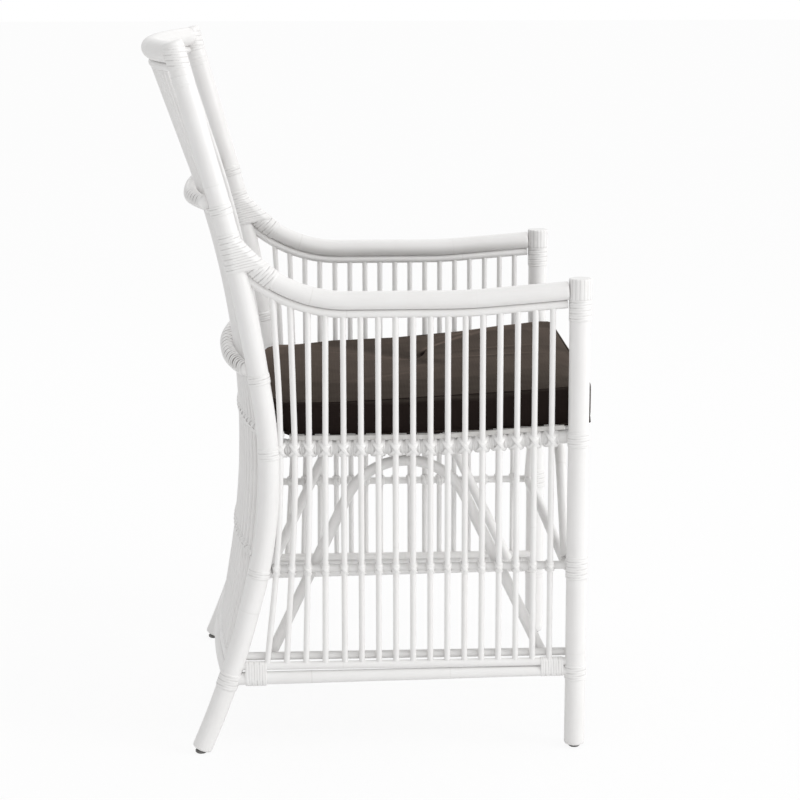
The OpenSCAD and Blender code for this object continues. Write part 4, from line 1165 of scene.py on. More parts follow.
@dataclass
class BackPanel:
    """The bowed back: its rails, liners, wound bows and spindles."""

    sizes: ChairSizes = SIZES
    seed: int = 51

    def bow(self, height: float, tip: float, rise: float, inset: float = 0.0, drop: float = 0.0,
            reach: float | None = None) -> np.ndarray:
        """A circle arc through both rear poles, tipped with them.

        In its own plane the arc's distance to the rear is the rise at the middle less the sagitta of x,
        and the plane is turned back about X by the tip.

        Args:
            height: where it meets the rear poles' axes, in millimetres.
            tip: how far its plane is tipped, in radians.
            rise: rearward rise of its middle.
            inset: how much further back all of it lies.
            drop: how far below its plane it is moved, square to it.
            reach: how far it runs to each side.

        Returns:
            Points of the arc in the row's frame.
        """
        s = self.sizes
        half = s.side_x if reach is None else reach
        r = bow_radius(rise)
        a = np.linspace(-1, 1, 161) * math.asin(half / (r + inset))
        x = (r + inset) * np.sin(a)
        out = rise - r + (r + inset) * np.cos(a)
        y = float(post_y(height)) + out * math.cos(tip) - drop * math.sin(tip)
        z = height - out * math.sin(tip) - drop * math.cos(tip)
        return np.stack([x * MM, y * MM + LEG_AXIS_Y, z * MM], axis=1)

    @staticmethod
    def up(tip: float) -> np.ndarray:
        """Normal of a tipped plane."""
        return np.array([0.0, math.sin(tip), math.cos(tip)])

    @property
    def tip(self) -> float:
        """How far the top rail's bow tips down to the rear, in radians."""
        return math.radians(self.sizes.top_tip)

    @property
    def top_z(self) -> float:
        """Height at which the top rail's axis meets the rear poles' axes."""
        return self.sizes.back_top - self.sizes.top_rail_d / 2

    @property
    def xs(self) -> np.ndarray:
        """Distances of the spindles from the middle."""
        s = self.sizes
        return (np.arange(s.back_spindles) - (s.back_spindles - 1) / 2) * s.back_pitch

    def spindle_path(self, x: float) -> np.ndarray:
        """Side-view path of the back spindle at x, from the bottom liner to the top liner.

        Args:
            x: the spindle's distance from the middle.

        Returns:
            Points of (place, height).
        """
        s = self.sizes
        foot = float(np.interp(x, FOOT_ARC[:, 0], FOOT_ARC[:, 1]))
        drop, foot_z = s.top_liner_drop, s.back_liner_z
        out = float(bow_rise_at(x, s.back_bow)) + s.top_set
        c, n = math.cos(self.tip), math.sin(self.tip)
        (waist_y, waist_z, waist_bend), (shoulder_y, shoulder_z, shoulder_bend) = s.post_corners()[2:4]
        return smooth_path([
            (float(post_y(foot_z)) + foot, foot_z, 0),
            (waist_y + float(bow_rise_at(x, s.waist_bow)), waist_z, waist_bend),
            (shoulder_y + float(bow_rise_at(x, s.shoulder_bow)), shoulder_z, shoulder_bend),
            (float(post_y(self.top_z)) + out * c - drop * n, self.top_z - out * n - drop * c, 0)], 5.0)

    def spindle_y(self, x: float, height: float) -> float:
        """Place of the back spindle at x, at a height."""
        path = self.spindle_path(x)
        return float(np.interp(height, path[:, 1], path[:, 0]))

    def row_rise(self, height: float) -> float:
        """How far the row of spindles stands behind the rear poles in the middle, at a height."""
        return self.spindle_y(0.0, height) - float(post_y(height))

    def row_set(self, height: float) -> float:
        """How far the arc of a wound rail is set back at the poles, so that it follows the row all along.

        Args:
            height: where the rail meets the rear poles.

        Returns:
            The distance, in millimetres.
        """
        x, rise = float(self.xs[0]), self.row_rise(height)
        share = float(bow_rise_at(x, rise)) / rise
        return max(0.0, self.spindle_y(x, height) - float(post_y(height)) - share * rise) / (1 - share)

    def wound(self, name: str, height: float, node: str) -> None:
        """Builds one wound bow rail.

        Args:
            name: the piece's name.
            height: where it meets the rear poles.
            node: the solid that it replaces.
        """
        s = self.sizes
        tip, back = post_lean(height), self.row_set(height)
        rise = (self.row_rise(height) - back) * math.cos(tip)
        inset = s.spindle_d / 2 + s.bow_core_d / 2 + s.peel + s.air + back * math.cos(tip)
        line = self.bow(height, tip, rise, inset, reach=s.side_x + 2)
        peel_piece(name, [Winding(line, self.up(tip), [(0, 0, s.bow_core_d / 2 * MM)], pitch=0.0130,
                                  height=0.0030, flat=2.0, skew=0.008, dark=1.35, dome=0.004,
                                  seed=int(height), steps=36)], node)

    def rail(self, name: str, node: str, line: np.ndarray, diameter: float, seed: int, tip: float = 0.0,
             **looks: float) -> None:
        """Builds one rail of the back.

        Args:
            name: the piece's name.
            node: the solid's name.
            line: its axis, in metres.
            diameter: its diameter in millimetres.
            seed: its own number among the back's canes.
            tip: how far its plane is tipped, in radians.
            looks: other values of its cane.
        """
        cane_piece(name, [Cane(line, self.up(tip), diameter * MM, self.seed + seed, **looks)], node)

    def build(self) -> None:
        """Builds and dresses the back."""
        s = self.sizes
        self.rail("top_rail_cane", "top_rail", self.bow(self.top_z, self.tip, s.back_bow, s.top_set),
                  s.top_rail_d, 0, self.tip, sides=32, ring_gap=0.24)
        lining = self.bow(self.top_z, self.tip, s.back_bow, s.top_set, s.top_liner_drop)
        self.rail("top_liner_cane", "top_liner", lining, s.thin_d, 1, self.tip)
        cane_piece("back_spindle_row",
                   [Cane(side_line(self.spindle_path(float(x)), x), SIDE_UP, s.spindle_d * MM,
                         self.seed + 600 + i, sides=14, ring_gap=0.34, ring_depth=0.3)
                    for i, x in enumerate(self.xs)], "back_spindles")
        for word, z, d in s.back_inner_rails:
            line = self.bow(z, 0.0, self.row_rise(z), -s.spindle_d / 2 - d / 2 - s.air)
            self.rail(f"back_{word}_rail_cane", f"back_{word}_rail", line, d, int(z), sides=24)
        for word, z, d, seed in (("rail", s.bottom_rail_z, s.back_foot_d, 3),
                                 ("liner", s.back_liner_z, s.thin_d, 4)):
            line = np.stack([FOOT_ARC[:, 0] * MM, (FOOT_ARC[:, 1] + float(post_y(z))) * MM + LEG_AXIS_Y,
                             np.full(len(FOOT_ARC), z * MM)], axis=1)
            self.rail(f"back_foot_{word}_cane", f"back_bottom_{word}", line, d, seed, sides=24)
        self.wound("upper_bow_peel", s.upper_bow_z, "upper_bow_winding")
        self.wound("lower_bow_peel", s.lower_bow_z, "lower_bow_winding")


# Bindings


@dataclass
class Bindings:
    """Every joint binding and lashing of the chair."""

    back: BackPanel
    sizes: ChairSizes = SIZES
    arm_band_z: float = 592.0
    cap_h: float = 27.0
    wrap_low: float = 661.0
    wrap_high: float = 712.0

    def leg_band(self, side: Side, low: float, high: float, seed: int) -> Winding:
        """Turns round a front leg between two heights.

        Args:
            side: the leg's side.
            low: lower end of the turns.
            high: upper end of the turns.
            seed: seed of the turns.

        Returns:
            The turns.
        """
        s = self.sizes
        line = side_line(np.array([[0.0, low], [0.0, high]]), side.value * s.side_x)
        return Winding(line, SIDE_UP, [(0, 0, s.leg_d / 2 * MM)], seed=seed + side.nth)

    def rear_band(self, side: Side, low: float, high: float, seed: int, **looks: float) -> Winding:
        """Turns round a rear pole between two heights.

        Args:
            side: the pole's side.
            low: lower end of the turns.
            high: upper end of the turns.
            seed: seed of the turns.
            looks: other values of the winding.

        Returns:
            The turns.
        """
        s = self.sizes
        z = np.linspace(low, high, 9)
        line = side_line(np.stack([post_y(z), z], axis=1), side.value * s.side_x)
        return Winding(line, SIDE_UP, [(0, 0, s.leg_d / 2 * MM)], seed=seed + side.nth, **looks)

    def lashing(self, at: np.ndarray, along: np.ndarray, out: np.ndarray, rail_d: float, gap: float,
                seed: int) -> list[Winding | Strap]:
        """The lashing of a spindle to a rail: a wound barrel on the rail, turns on the spindle, two straps.

        The straps cross over spindle and rail. Their planes rise 1.3 for each 1 along the rail.

        Args:
            at: where the spindle's axis crosses the rail's level, in metres.
            along: the rail's direction.
            out: the direction from the rail's axis to the spindle's.
            rail_d: the rail's diameter in millimetres.
            gap: the distance between the two axes, in millimetres.
            seed: seed of the turns.

        Returns:
            The barrel, the turns round the spindle and the two straps.
        """
        s = self.sizes
        rail = at - out * gap * MM
        thick = gap + (s.spindle_d + rail_d) / 2
        centre = at + out * (s.spindle_d / 2 - thick / 2) * MM
        reach = (rail_d / 2 + 2.0) * MM
        slope, span = 1.3, 1.64
        straps = []
        for k, sign in enumerate((1, -1)):
            way = (along + sign * slope * UP) / span
            straps.append(Strap(centre, out, way, (thick / 2 + 0.5 + 0.7 * k) * MM, reach + 0.4 * k * MM,
                                min(5.0, 0.36 * rail_d) * MM, seed + 2 + k))
        half = min(12.0, rail_d * 0.64) * MM
        barrel = np.stack([rail - along * half, rail + along * half])
        reach_up = 7 * MM
        band = np.stack([at - UP * reach_up, at + UP * reach_up])
        return [Winding(barrel, UP, [(0, 0, rail_d * 0.6 * MM)], pitch=0.0040, height=0.0014, dark=0.62,
                        dome=0.0042, seed=seed, steps=20),
                Winding(band, out, [(0, 0, s.spindle_d / 2 * MM)], pitch=0.0040, height=0.0012, dark=0.9,
                        skew=0.004, seed=seed + 1, steps=14), *straps]

    def build(self) -> None:
        """Builds and dresses every binding."""
        self.front_bands()
        self.caps()
        self.rear_bands()
        self.tops()
        self.sleeves()
        for side in Side:
            self.side_lashings(side)
        self.back_lashings()

    def front_bands(self) -> None:
        """Builds the turns round the front legs: under the cap and at the seat, mid and bottom rails."""
        s = self.sizes
        seat_z, low_z = float(seat_rail_at(0)), s.bottom_rail_z + s.bottom_rail_rise
        bands = [(self.arm_band_z, s.front_top - self.cap_h + 1), (seat_z - 12, seat_z + 10),
                 (s.mid_rail_z - 16, s.mid_rail_z + 16), (low_z - 12, low_z + 9)]
        made = [self.leg_band(side, low, high, 10 * i)
                for side in Side for i, (low, high) in enumerate(bands)]
        peel_piece("front_leg_peel", made, "front_leg_bindings")

    def rear_bands(self) -> None:
        """Builds the turns round the rear poles: at the three rails, at the arm and below each wound bow."""
        s = self.sizes
        bands = [(s.bottom_rail_z - 12, s.bottom_rail_z + 10), (s.mid_rail_z - 9, s.mid_rail_z + 4),
                 (s.seat_rail_z - 12, s.seat_rail_z + 4)]
        made = [self.rear_band(side, low, high, 20 * i)
                for side in Side for i, (low, high) in enumerate(bands)]
        peel_piece("rear_leg_peel", made, "rear_leg_bindings")
        peel_piece("arm_rear_peel", [w for side in Side for w in self.arm_end(side)], "arm_rear_bindings")
        drop = s.bow_core_d * 0.6
        made = [self.rear_band(side, z - drop - 13, z - drop + 1, 120)
                for side in Side for z in (s.upper_bow_z, s.lower_bow_z)]
        peel_piece("bow_end_peel", made, "bow_end_bindings")

    def tops(self) -> None:
        """Builds the turns round the rear poles' tops: a faint band under the liner and a bold one above."""
        s = self.sizes
        under = self.back.top_z - s.top_liner_drop - s.thin_d / 2 - 4
        made = []
        for side in Side:
            made.append(self.rear_band(side, under - 14, under, 150, height=0.0005, dark=0.25))
            made.append(self.rear_band(side, under + 8, under + 37, 160, skew=0.004))
        peel_piece("top_rail_peel", made, "top_rail_bindings")

    def caps(self) -> None:
        """Builds the wound caps of the front legs.

        Strips of peel run down the leg from a flat crown. Round the leg the radius rises over each
        strip as one minus the sixth power of the distance from its middle, and the crown turns in
        over a quarter round.
        """
        s = self.sizes
        skin = Skin()
        strips, crown, bend = 17, 1.4, 2.2
        low, high = s.front_top - self.cap_h, s.front_top + crown
        a = np.arange(strips * 8) / (strips * 8) * 2 * math.pi
        f = (a / (2 * math.pi) * strips) % 1
        bulge = 1 - np.abs(2 * f - 1) ** 6
        t = np.linspace(0, 0.5 * math.pi, 9)
        z = np.concatenate([[low, low, low + 0.6], np.linspace(low + 3, high - 3, 9),
                            high - bend + bend * np.sin(t), [high - 0.2, high - 0.4]])
        inner = s.leg_d / 2 + 0.7
        r = np.concatenate([[inner - 1.2, inner - 0.2, inner], np.full(9, inner),
                            inner - bend + bend * np.cos(t), [inner * 0.45, inner * 0.12]])
        share = np.concatenate([[0.0, 0.6, 1.0], np.full(9, 1.0), np.cos(t) * 0.8 + 0.2, [0.1, 0.0]])
        radius = r[:, None] + 0.8 * share[:, None] * (0.3 + 0.7 * bulge[None, :])
        # Painted shade: the mark darkens the hollows between the strips.
        mark = np.repeat((1 - bulge)[None, :], len(z), axis=0) * 0.7 * share[::-1, None]
        for side in Side:
            rings = np.stack([side.value * s.side_x + radius * np.cos(a), radius * np.sin(a),
                              z[:, None] + 0 * radius], axis=-1) * MM
            rings[..., 1] += LEG_AXIS_Y
            skin.add_tube(rings[::-1], mark, 0.3 + 0.1 * side.value, 0.094)
        dress(skin.build("arm_cap_peel"), Finish.PEEL, "white_peel", "arm_caps")

    def arm_end(self, side: Side) -> list[Winding]:
        """Turns on the arm's rear end, and on the rear pole where the arm meets it.

        Args:
            side: the arm's side.

        Returns:
            Both windings.
        """
        s = self.sizes
        near, far, level_top, meet_z = 19, 46, 640, 685
        gap = np.abs(ARM[:, 0] - post_y(ARM[:, 1]))
        line = side_line(ARM[(gap > near) & (gap < far)], side.value * s.side_x)
        wrap = self.rear_band(side, self.wrap_low, self.wrap_high, 90)
        z = np.linspace(self.wrap_low, self.wrap_high, 24)
        rising = ARM[ARM[:, 1] > level_top]
        away = post_y(z) - np.interp(z, rising[:, 1], rising[:, 0])
        wrap.circles = [(0, 0, s.leg_d / 2 * MM), (0, 0, (s.leg_d / 2 - 0.5) * MM)]
        wrap.drift = np.maximum(away, 0) * math.cos(post_lean(meet_z)) * MM
        return [Winding(line, SIDE_UP, [(0, 0, s.arm_d / 2 * MM)], pitch=0.0043, height=0.0014, skew=0.003,
                        dark=0.95, seed=94 + side.nth), wrap]

    def sleeves(self) -> None:
        """Turns that bind the bottom rails to their liners at both ends."""
        s = self.sizes
        made = []
        for side in Side:
            for y0, y1, z, d in ((16.5, 48, s.bottom_rail_z + s.bottom_rail_rise, s.bottom_front_d),
                                 (421, 450, s.bottom_rail_z, s.bottom_rear_d)):
                line = side_line(np.array([[y0, z], [y1, z]], float), side.value * s.side_x)
                n, _ = frames_along(line, SIDE_UP)
                up = float(np.sign(n[0, 2]))
                circles = [(0, 0, (d / 2 + 0.2) * MM),
                           (up * (BOTTOM_LINER_Z - z) * MM, 0, (s.thin_d / 2 + 0.2) * MM)]
                made.append(Winding(line, SIDE_UP, circles, seed=200 + int(y0) + side.nth))
        peel_piece("bottom_sleeve_peel", made, "bottom_sleeves")

    def side_lashings(self, side: Side) -> None:
        """Lashings of one side's seat and mid rail.

        Args:
            side: the side.
        """
        s = self.sizes
        paths = SideFrame(side).spindle_paths()
        forward = np.array([0.0, -1.0, 0.0])
        out = np.array([float(side.value), 0.0, 0.0])
        for word, rail_d, inset in (("seat", s.seat_rail_d, RAIL_IN), ("mid", s.thin_d, THIN_IN)):
            made = []
            for i, path in enumerate(paths):
                z = float(seat_rail_at(path[0, 0])) if word == "seat" else s.mid_rail_z
                y = float(np.interp(z, path[:, 1], path[:, 0]))
                at = side_line(np.array([[y, z]]), side.value * s.side_x)[0]
                made += self.lashing(at, forward, out, rail_d, inset, 300 + 2 * i)
            peel_piece(f"{word}_lashing_peel_{side.word}", made, f"{word}_lashings_{side.word}")

    def back_lashings(self) -> None:
        """Lashings of the back's two inner rails."""
        s = self.sizes
        for word, z, rail_d in s.back_inner_rails:
            rise = self.back.row_rise(z)
            r = bow_radius(rise)
            made = []
            for i, x in enumerate(self.back.xs):
                y = self.back.spindle_y(float(x), z)
                behind = y - float(post_y(z)) - float(bow_rise_at(float(x), rise))
                a = math.asin(float(x) / r)
                out = np.array([math.sin(a), math.cos(a), 0.0])
                along = np.array([math.cos(a), -math.sin(a), 0.0])
                at = np.array([x * MM, y * MM + LEG_AXIS_Y, z * MM])
                made += self.lashing(at, along, out, rail_d,
                                     rail_d / 2 + s.spindle_d / 2 + s.air + behind * math.cos(a), 500 + 2 * i)
            peel_piece(f"back_{word}_lashing_peel", made, f"back_{word}_lashings")


# Cushion

# Folds of the cover: place in x and y, length, width and height in millimetres, and turn in radians
FOLDS = ((12, 85, 60, 5, 1.3, 0.03), (-42, 90, 50, 5, 1.5, -0.05), (-215, 105, 34, 6, 1.2, 0.1),
         (-120, 250, 90, 9, -0.9, 0.5), (90, 300, 110, 10, -0.9, -0.4), (150, 120, 80, 8, 0.8, 0.8),
         (-60, 330, 70, 9, 0.8, -0.9))


@dataclass
class Cushion:
    """The loose box cushion: a top, a bottom and a boxing strip, sewn together and blown up as cloth."""

    sizes: ChairSizes = SIZES
    width: float = 492.0
    front: float = -24.5
    thickness: float = 55.0
    fall: float = 7.0
    sag: float = 8.0
    proud: float = 6.0
    crown: float = 7.0
    pull: float = 4.0
    rake: float = 14.0
    gap: float = 3.0
    shrink: float = 2.0
    corner: float = 6.0
    foot: float = 3.0
    drape: float = 4.0
    voxel: float = 0.005
    reach_cap: float = 0.007
    slat: float = 6.0
    clear: float = 0.4
    deck_end: float = 410.0
    steps: int = 320

    @property
    def rear_y(self) -> float:
        """Place of the rear edge between its corners and in line with the rear poles, in millimetres."""
        s = self.sizes
        return float(post_y(s.back_seat_z)) - s.seat_rail_d - s.spindle_d / 2 - self.gap

    def deck(self, y: np.ndarray) -> np.ndarray:
        """Height of the deck at a place behind the front legs, in millimetres."""
        s = self.sizes
        return seat_rail_at(np.clip(y, 0, self.deck_end)) + s.seat_rail_d / 2 + s.peel + self.slat

    def hang(self, x: np.ndarray) -> np.ndarray:
        """How far the cover hangs over the ends of the slats: it grows from none to full over a short run."""
        slat_end, run = 228, 12
        return self.drape * np.clip((np.abs(x) - slat_end) / run, 0, 1)

    def shape(self, u: np.ndarray, v: np.ndarray, inset: np.ndarray, lift: np.ndarray,
              shrink: float) -> np.ndarray:
        """The cushion at rest, before it is blown up.

        The outline is a superellipse of u and v. Its sides pull in as one minus v squared, its rear
        bows back as one minus u squared, and the upper rear edge stands out further. A lift from 0 to
        1 is a share of the thickness, which falls towards the rear and most at its left corner and
        swells at the left front one, and the top is crowned.

        Args:
            u: share of the half width, from -1 to 1.
            v: share of the half length, from -1 at the front to 1 at the rear.
            inset: distance inside the outline, in millimetres.
            lift: share of the thickness.
            shrink: how much smaller the outline is all round, in millimetres.

        Returns:
            Points in the row's metres.
        """
        back = BackPanel()
        rise = back.row_rise(self.sizes.back_seat_z)
        corner_y = self.rear_y + float(bow_rise_at(self.width / 2, rise))
        bow = self.rear_y + rise - corner_y
        centre, half = (self.front + corner_y) / 2, (corner_y - self.front) / 2
        x = (self.width / 2 - shrink - inset) * u - np.sign(u) * self.pull * (1 - v * v) * (0.3 + 0.7 * lift)
        over = self.rake * np.clip((lift - 0.22) / 0.28, 0, 1) * np.clip(v, 0, 1) ** 8
        y = centre + (half - shrink - inset) * v + bow * np.clip(v, 0, 1) * (1 - u * u) + over
        thick = self.thickness - self.fall * (1 + v) / 2
        crown = self.crown * (1 - u * u) * (1 - v * v) * np.clip(2 * lift - 1, 0, 1)
        sag = np.clip(u, 0, 1) ** 2 * (self.sag * np.clip(v, 0, 1) ** 2 - self.proud * np.clip(-v, 0, 1))
        z = self.deck(y) - self.hang(x) + self.clear + lift * (thick - sag) + crown
        return np.stack([x * MM, y * MM + LEG_AXIS_Y, z * MM], axis=-1)

    def outline(self) -> tuple[np.ndarray, np.ndarray]:
        """The superellipse: each coordinate is the cosine or sine to a low power, pulled to the square.

        Returns:
            Shares of the half width and the half length, from -1 to 1.
        """
        a = np.arange(self.steps) / self.steps * 2 * math.pi
        u, v = (np.sign(w) * np.abs(w) ** 0.1 for w in (np.cos(a), np.sin(a)))
        big = np.maximum(np.abs(u), np.abs(v)) ** 0.35
        return u / big, v / big

    def seam(self, lift: float) -> np.ndarray:
        """The line of a seam round the cushion, at a share of its thickness."""
        u, v = self.outline()
        return self.shape(u, v, np.full_like(u, self.corner * 0.29), np.full_like(u, lift), 0.0)

    def shell(self) -> bpy.types.Object:
        """Builds the cover before it is blown up: rings go in over the underside, up the boxing, and in.

        Returns:
            The cover.
        """
        u, v = self.outline()
        t = np.linspace(0, 0.5 * math.pi, 6)
        c, h = self.corner, self.corner / self.thickness
        low, rise = self.foot, self.foot / self.thickness
        inward = [14, 24, 50, 100, 160, 215]
        inset = np.concatenate([inward[::-1], low * (1 - np.sin(t)), np.zeros(5), c * (1 - np.cos(t)),
                                inward])
        lift = np.concatenate([np.zeros(6), rise * (1 - np.cos(t)), [0.25, 0.38, 0.5, 0.62, 0.75],
                               1 - h * (1 - np.sin(t)), np.ones(6)])
        rings = self.shape(u[None, :], v[None, :], inset[:, None], lift[:, None], self.shrink)
        skin = Skin()
        skin.add_tube(rings, np.zeros(rings.shape[:2]), 0.5, 1.8)
        return skin.build("cushion_cover")

    def hold_seams(self, obj: bpy.types.Object, points: np.ndarray) -> None:
        """Groups the cover's points, with full weight up to 3 mm from a seam and none past 12 mm.

        Args:
            obj: the cover.
            points: its points.
        """
        run = 0.009
        held = np.zeros(len(points))
        for lift in (0.05, 0.95):
            line = self.seam(lift)
            for part in np.array_split(np.arange(len(points)), 12):
                d = np.linalg.norm(points[part, None, :] - line[None, ::2, :], axis=2).min(axis=1)
                held[part] = np.maximum(held[part], np.clip(1.35 - d / run, 0, 1))
        group = obj.vertex_groups.new(name="seams")
        for level in range(1, 11):
            chosen = np.nonzero(np.round(held * 10).astype(int) == level)[0]
            group.add(chosen.tolist(), level / 10, "REPLACE")

    def inflate(self, obj: bpy.types.Object) -> None:
        """Runs the cover as cloth under inner pressure for some frames, and applies the result.

        Args:
            obj: the cover.
        """
        frames = 20
        cloth = obj.modifiers.new("cloth", "CLOTH")
        settings = cloth.settings
        settings.effector_weights.gravity = 0.0
        settings.use_pressure = True
        settings.uniform_pressure_force = 4.0
        settings.quality = 5
        settings.mass = 0.3
        settings.tension_stiffness = settings.compression_stiffness = 18.0
        settings.shear_stiffness = 6.0
        settings.bending_stiffness = 0.6
        settings.vertex_group_mass = "seams"
        settings.pin_stiffness = 1.0
        cloth.point_cache.frame_start, cloth.point_cache.frame_end = 1, frames
        scene = bpy.context.scene
        for step in range(1, frames + 1):
            scene.frame_set(step)
        self.apply(obj)
        scene.frame_set(1)

    def blow_up(self, obj: bpy.types.Object) -> None:
        """Remeshes the cover and blows it up as cloth, held where it is sewn.

        Past the cap a point's way is cut off, and no point sinks below the deck.

        Args:
            obj: the cover.
        """
        bpy.context.view_layer.objects.active = obj
        remesh = obj.modifiers.new("remesh", "REMESH")
        remesh.mode, remesh.voxel_size = "VOXEL", self.voxel
        self.apply(obj)
        mesh = obj.data
        before = read_points(mesh)
        place = (before[:, 1] - LEG_AXIS_Y) / MM
        self.hold_seams(obj, before)
        self.inflate(obj)
        move = read_points(mesh) - before
        size = np.linalg.norm(move, axis=1)
        move *= np.minimum(1.0, self.reach_cap / np.maximum(size, 1e-9))[:, None]
        top = np.clip((before[:, 2] / MM - self.deck(place)) / self.thickness, 0, 1)
        point = before + move + self.creases(before, top)
        floor = (self.deck((point[:, 1] - LEG_AXIS_Y) / MM) - self.hang(point[:, 0] / MM) + self.clear) * MM
        point[:, 2] = np.maximum(point[:, 2], floor)
        mesh.vertices.foreach_set("co", point.astype(np.float32).ravel())
        mesh.update()
        LOG.info("cushion: blown up by %.1f mm at most", float(size.max() / MM))

    def creases(self, point: np.ndarray, top: np.ndarray) -> np.ndarray:
        """Shallow folds of the cover: each is a ridge across a line that fades out at both ends.

        Args:
            point: points of the cover.
            top: share of the thickness at each.

        Returns:
            How far each point moves.
        """
        x, y = point[:, 0] / MM, (point[:, 1] - LEG_AXIS_Y) / MM
        up = np.clip(top * 3 - 2, 0, 1)
        lift = np.zeros(len(point))
        for cx, cy, length, width, height, turn in FOLDS:
            along = (y - cy) * math.cos(turn) - (x - cx) * math.sin(turn)
            side = (x - cx) * math.cos(turn) + (y - cy) * math.sin(turn)
            lift += height * np.exp(-np.square(side / width) - np.square(along / length))
        soft = 0.5 * np.sin(x * 0.031 + 1.3 * np.sin(y * 0.017)) * np.sin(y * 0.027 + 0.8)
        move = np.zeros_like(point)
        move[:, 2] = (lift + soft) * up * MM
        near_seam = np.clip(1 - np.abs(top - 0.86) / 0.12, 0, 1)
        pucker = 0.35 * np.sin(y * 0.42 + 2.0 * np.sin(x * 0.05)) * near_seam
        move[:, 0] = np.sign(x) * pucker * (np.abs(x) > 215) * MM
        return move

    @staticmethod
    def apply(obj: bpy.types.Object) -> None:
        """Applies all modifiers of a piece, and keeps its material.

        Args:
            obj: the piece.
        """
        graph = bpy.context.evaluated_depsgraph_get()
        made = bpy.data.meshes.new_from_object(obj.evaluated_get(graph), depsgraph=graph)
        points, loops = read_points(made), len(made.loops)
        obj.modifiers.clear()
        old = obj.data
        if len(points) == len(old.vertices) and loops == len(old.loops):
            old.vertices.foreach_set("co", points.astype(np.float32).ravel())
            old.update()
            bpy.data.meshes.remove(made)
        else:
            obj.data = made
            bpy.data.meshes.remove(old)

    def build(self) -> None:
        """Builds, blows up and dresses the cushion and its two seams."""
        obj = self.shell()
        self.blow_up(obj)
        finer = obj.modifiers.new("finer", "SUBSURF")
        finer.levels = finer.render_levels = 1
        self.apply(obj)
        obj.data.name = "cushion_cover"
        obj.data.polygons.foreach_set("use_smooth", np.ones(len(obj.data.polygons), bool))
        dress(obj, Finish.CLOTH, "charcoal_cloth", "cushion")
        skin, points = Skin(), read_points(obj.data)
        for lift, girth in ((0.035, 1.9), (0.965, 1.15)):
            self.add_welt(skin, self.on_edge(self.seam(lift), points, math.copysign(1.0, lift - 0.5)), girth)
        dress(skin.build("cushion_seams"), Finish.CLOTH, "charcoal_cloth")

    def on_edge(self, line: np.ndarray, points: np.ndarray, sign: float) -> np.ndarray:
        """Lays a seam on the cover's edge.

        Near each point of the line the edge is the mean of the four points of the cover that lie
        furthest out and up, or out and down. The result is averaged along the line.

        Args:
            line: the seam at rest.
            points: the points of the finished cover.
            sign: 1 for the upper edge and -1 for the lower one.

        Returns:
            The seam on the cover.
        """
        catch, outward, inward = 0.014, 0.9 * MM, 0.5 * MM
        ahead = np.roll(line, -1, axis=0) - np.roll(line, 1, axis=0)
        out = np.cross(ahead, UP)
        out /= np.linalg.norm(out, axis=1)[:, None]
        way = (out + sign * UP) / math.sqrt(2)
        found = []
        for part in np.array_split(np.arange(len(line)), 16):
            offset = points[None] - line[part, None]
            score = np.einsum("pqk,pk->pq", offset, way[part])
            score[np.linalg.norm(offset, axis=2) > catch] = -1.0
            best = np.argsort(-score, axis=1)[:, :4]
            found.append(points[best].mean(axis=1))
        edge = np.concatenate(found)
        edge = np.mean([np.roll(edge, k, axis=0) for k in range(-3, 4)], axis=0)
        return edge + way * (outward if sign < 0 else -inward)

    def add_welt(self, skin: Skin, line: np.ndarray, radius: float) -> None:
        """Adds a closed round welt: circles of a radius square to the line, pinched at every stitch.

        Args:
            skin: the mesh.
            line: the welt's line, in metres.
            radius: its radius in millimetres.
        """
        sides, stitch, pinch = 10, 0.0042, 0.12
        ahead = np.roll(line, -1, axis=0) - np.roll(line, 1, axis=0)
        ahead /= np.linalg.norm(ahead, axis=1)[:, None]
        side = np.cross(UP, ahead)
        side /= np.linalg.norm(side, axis=1)[:, None]
        rise = np.cross(ahead, side)
        a = np.arange(sides) / sides * 2 * math.pi
        r = (radius + pinch * np.sin(arc_length(line) / stitch * 2 * math.pi)) * MM
        rings = (line[:, None, :] + (r[:, None] * np.cos(a))[..., None] * side[:, None, :]
                 + (r[:, None] * np.sin(a))[..., None] * rise[:, None, :])
        skin.add_loop(rings[::-1], np.zeros((len(line), sides)), 0.5, 0.007)


# Studio


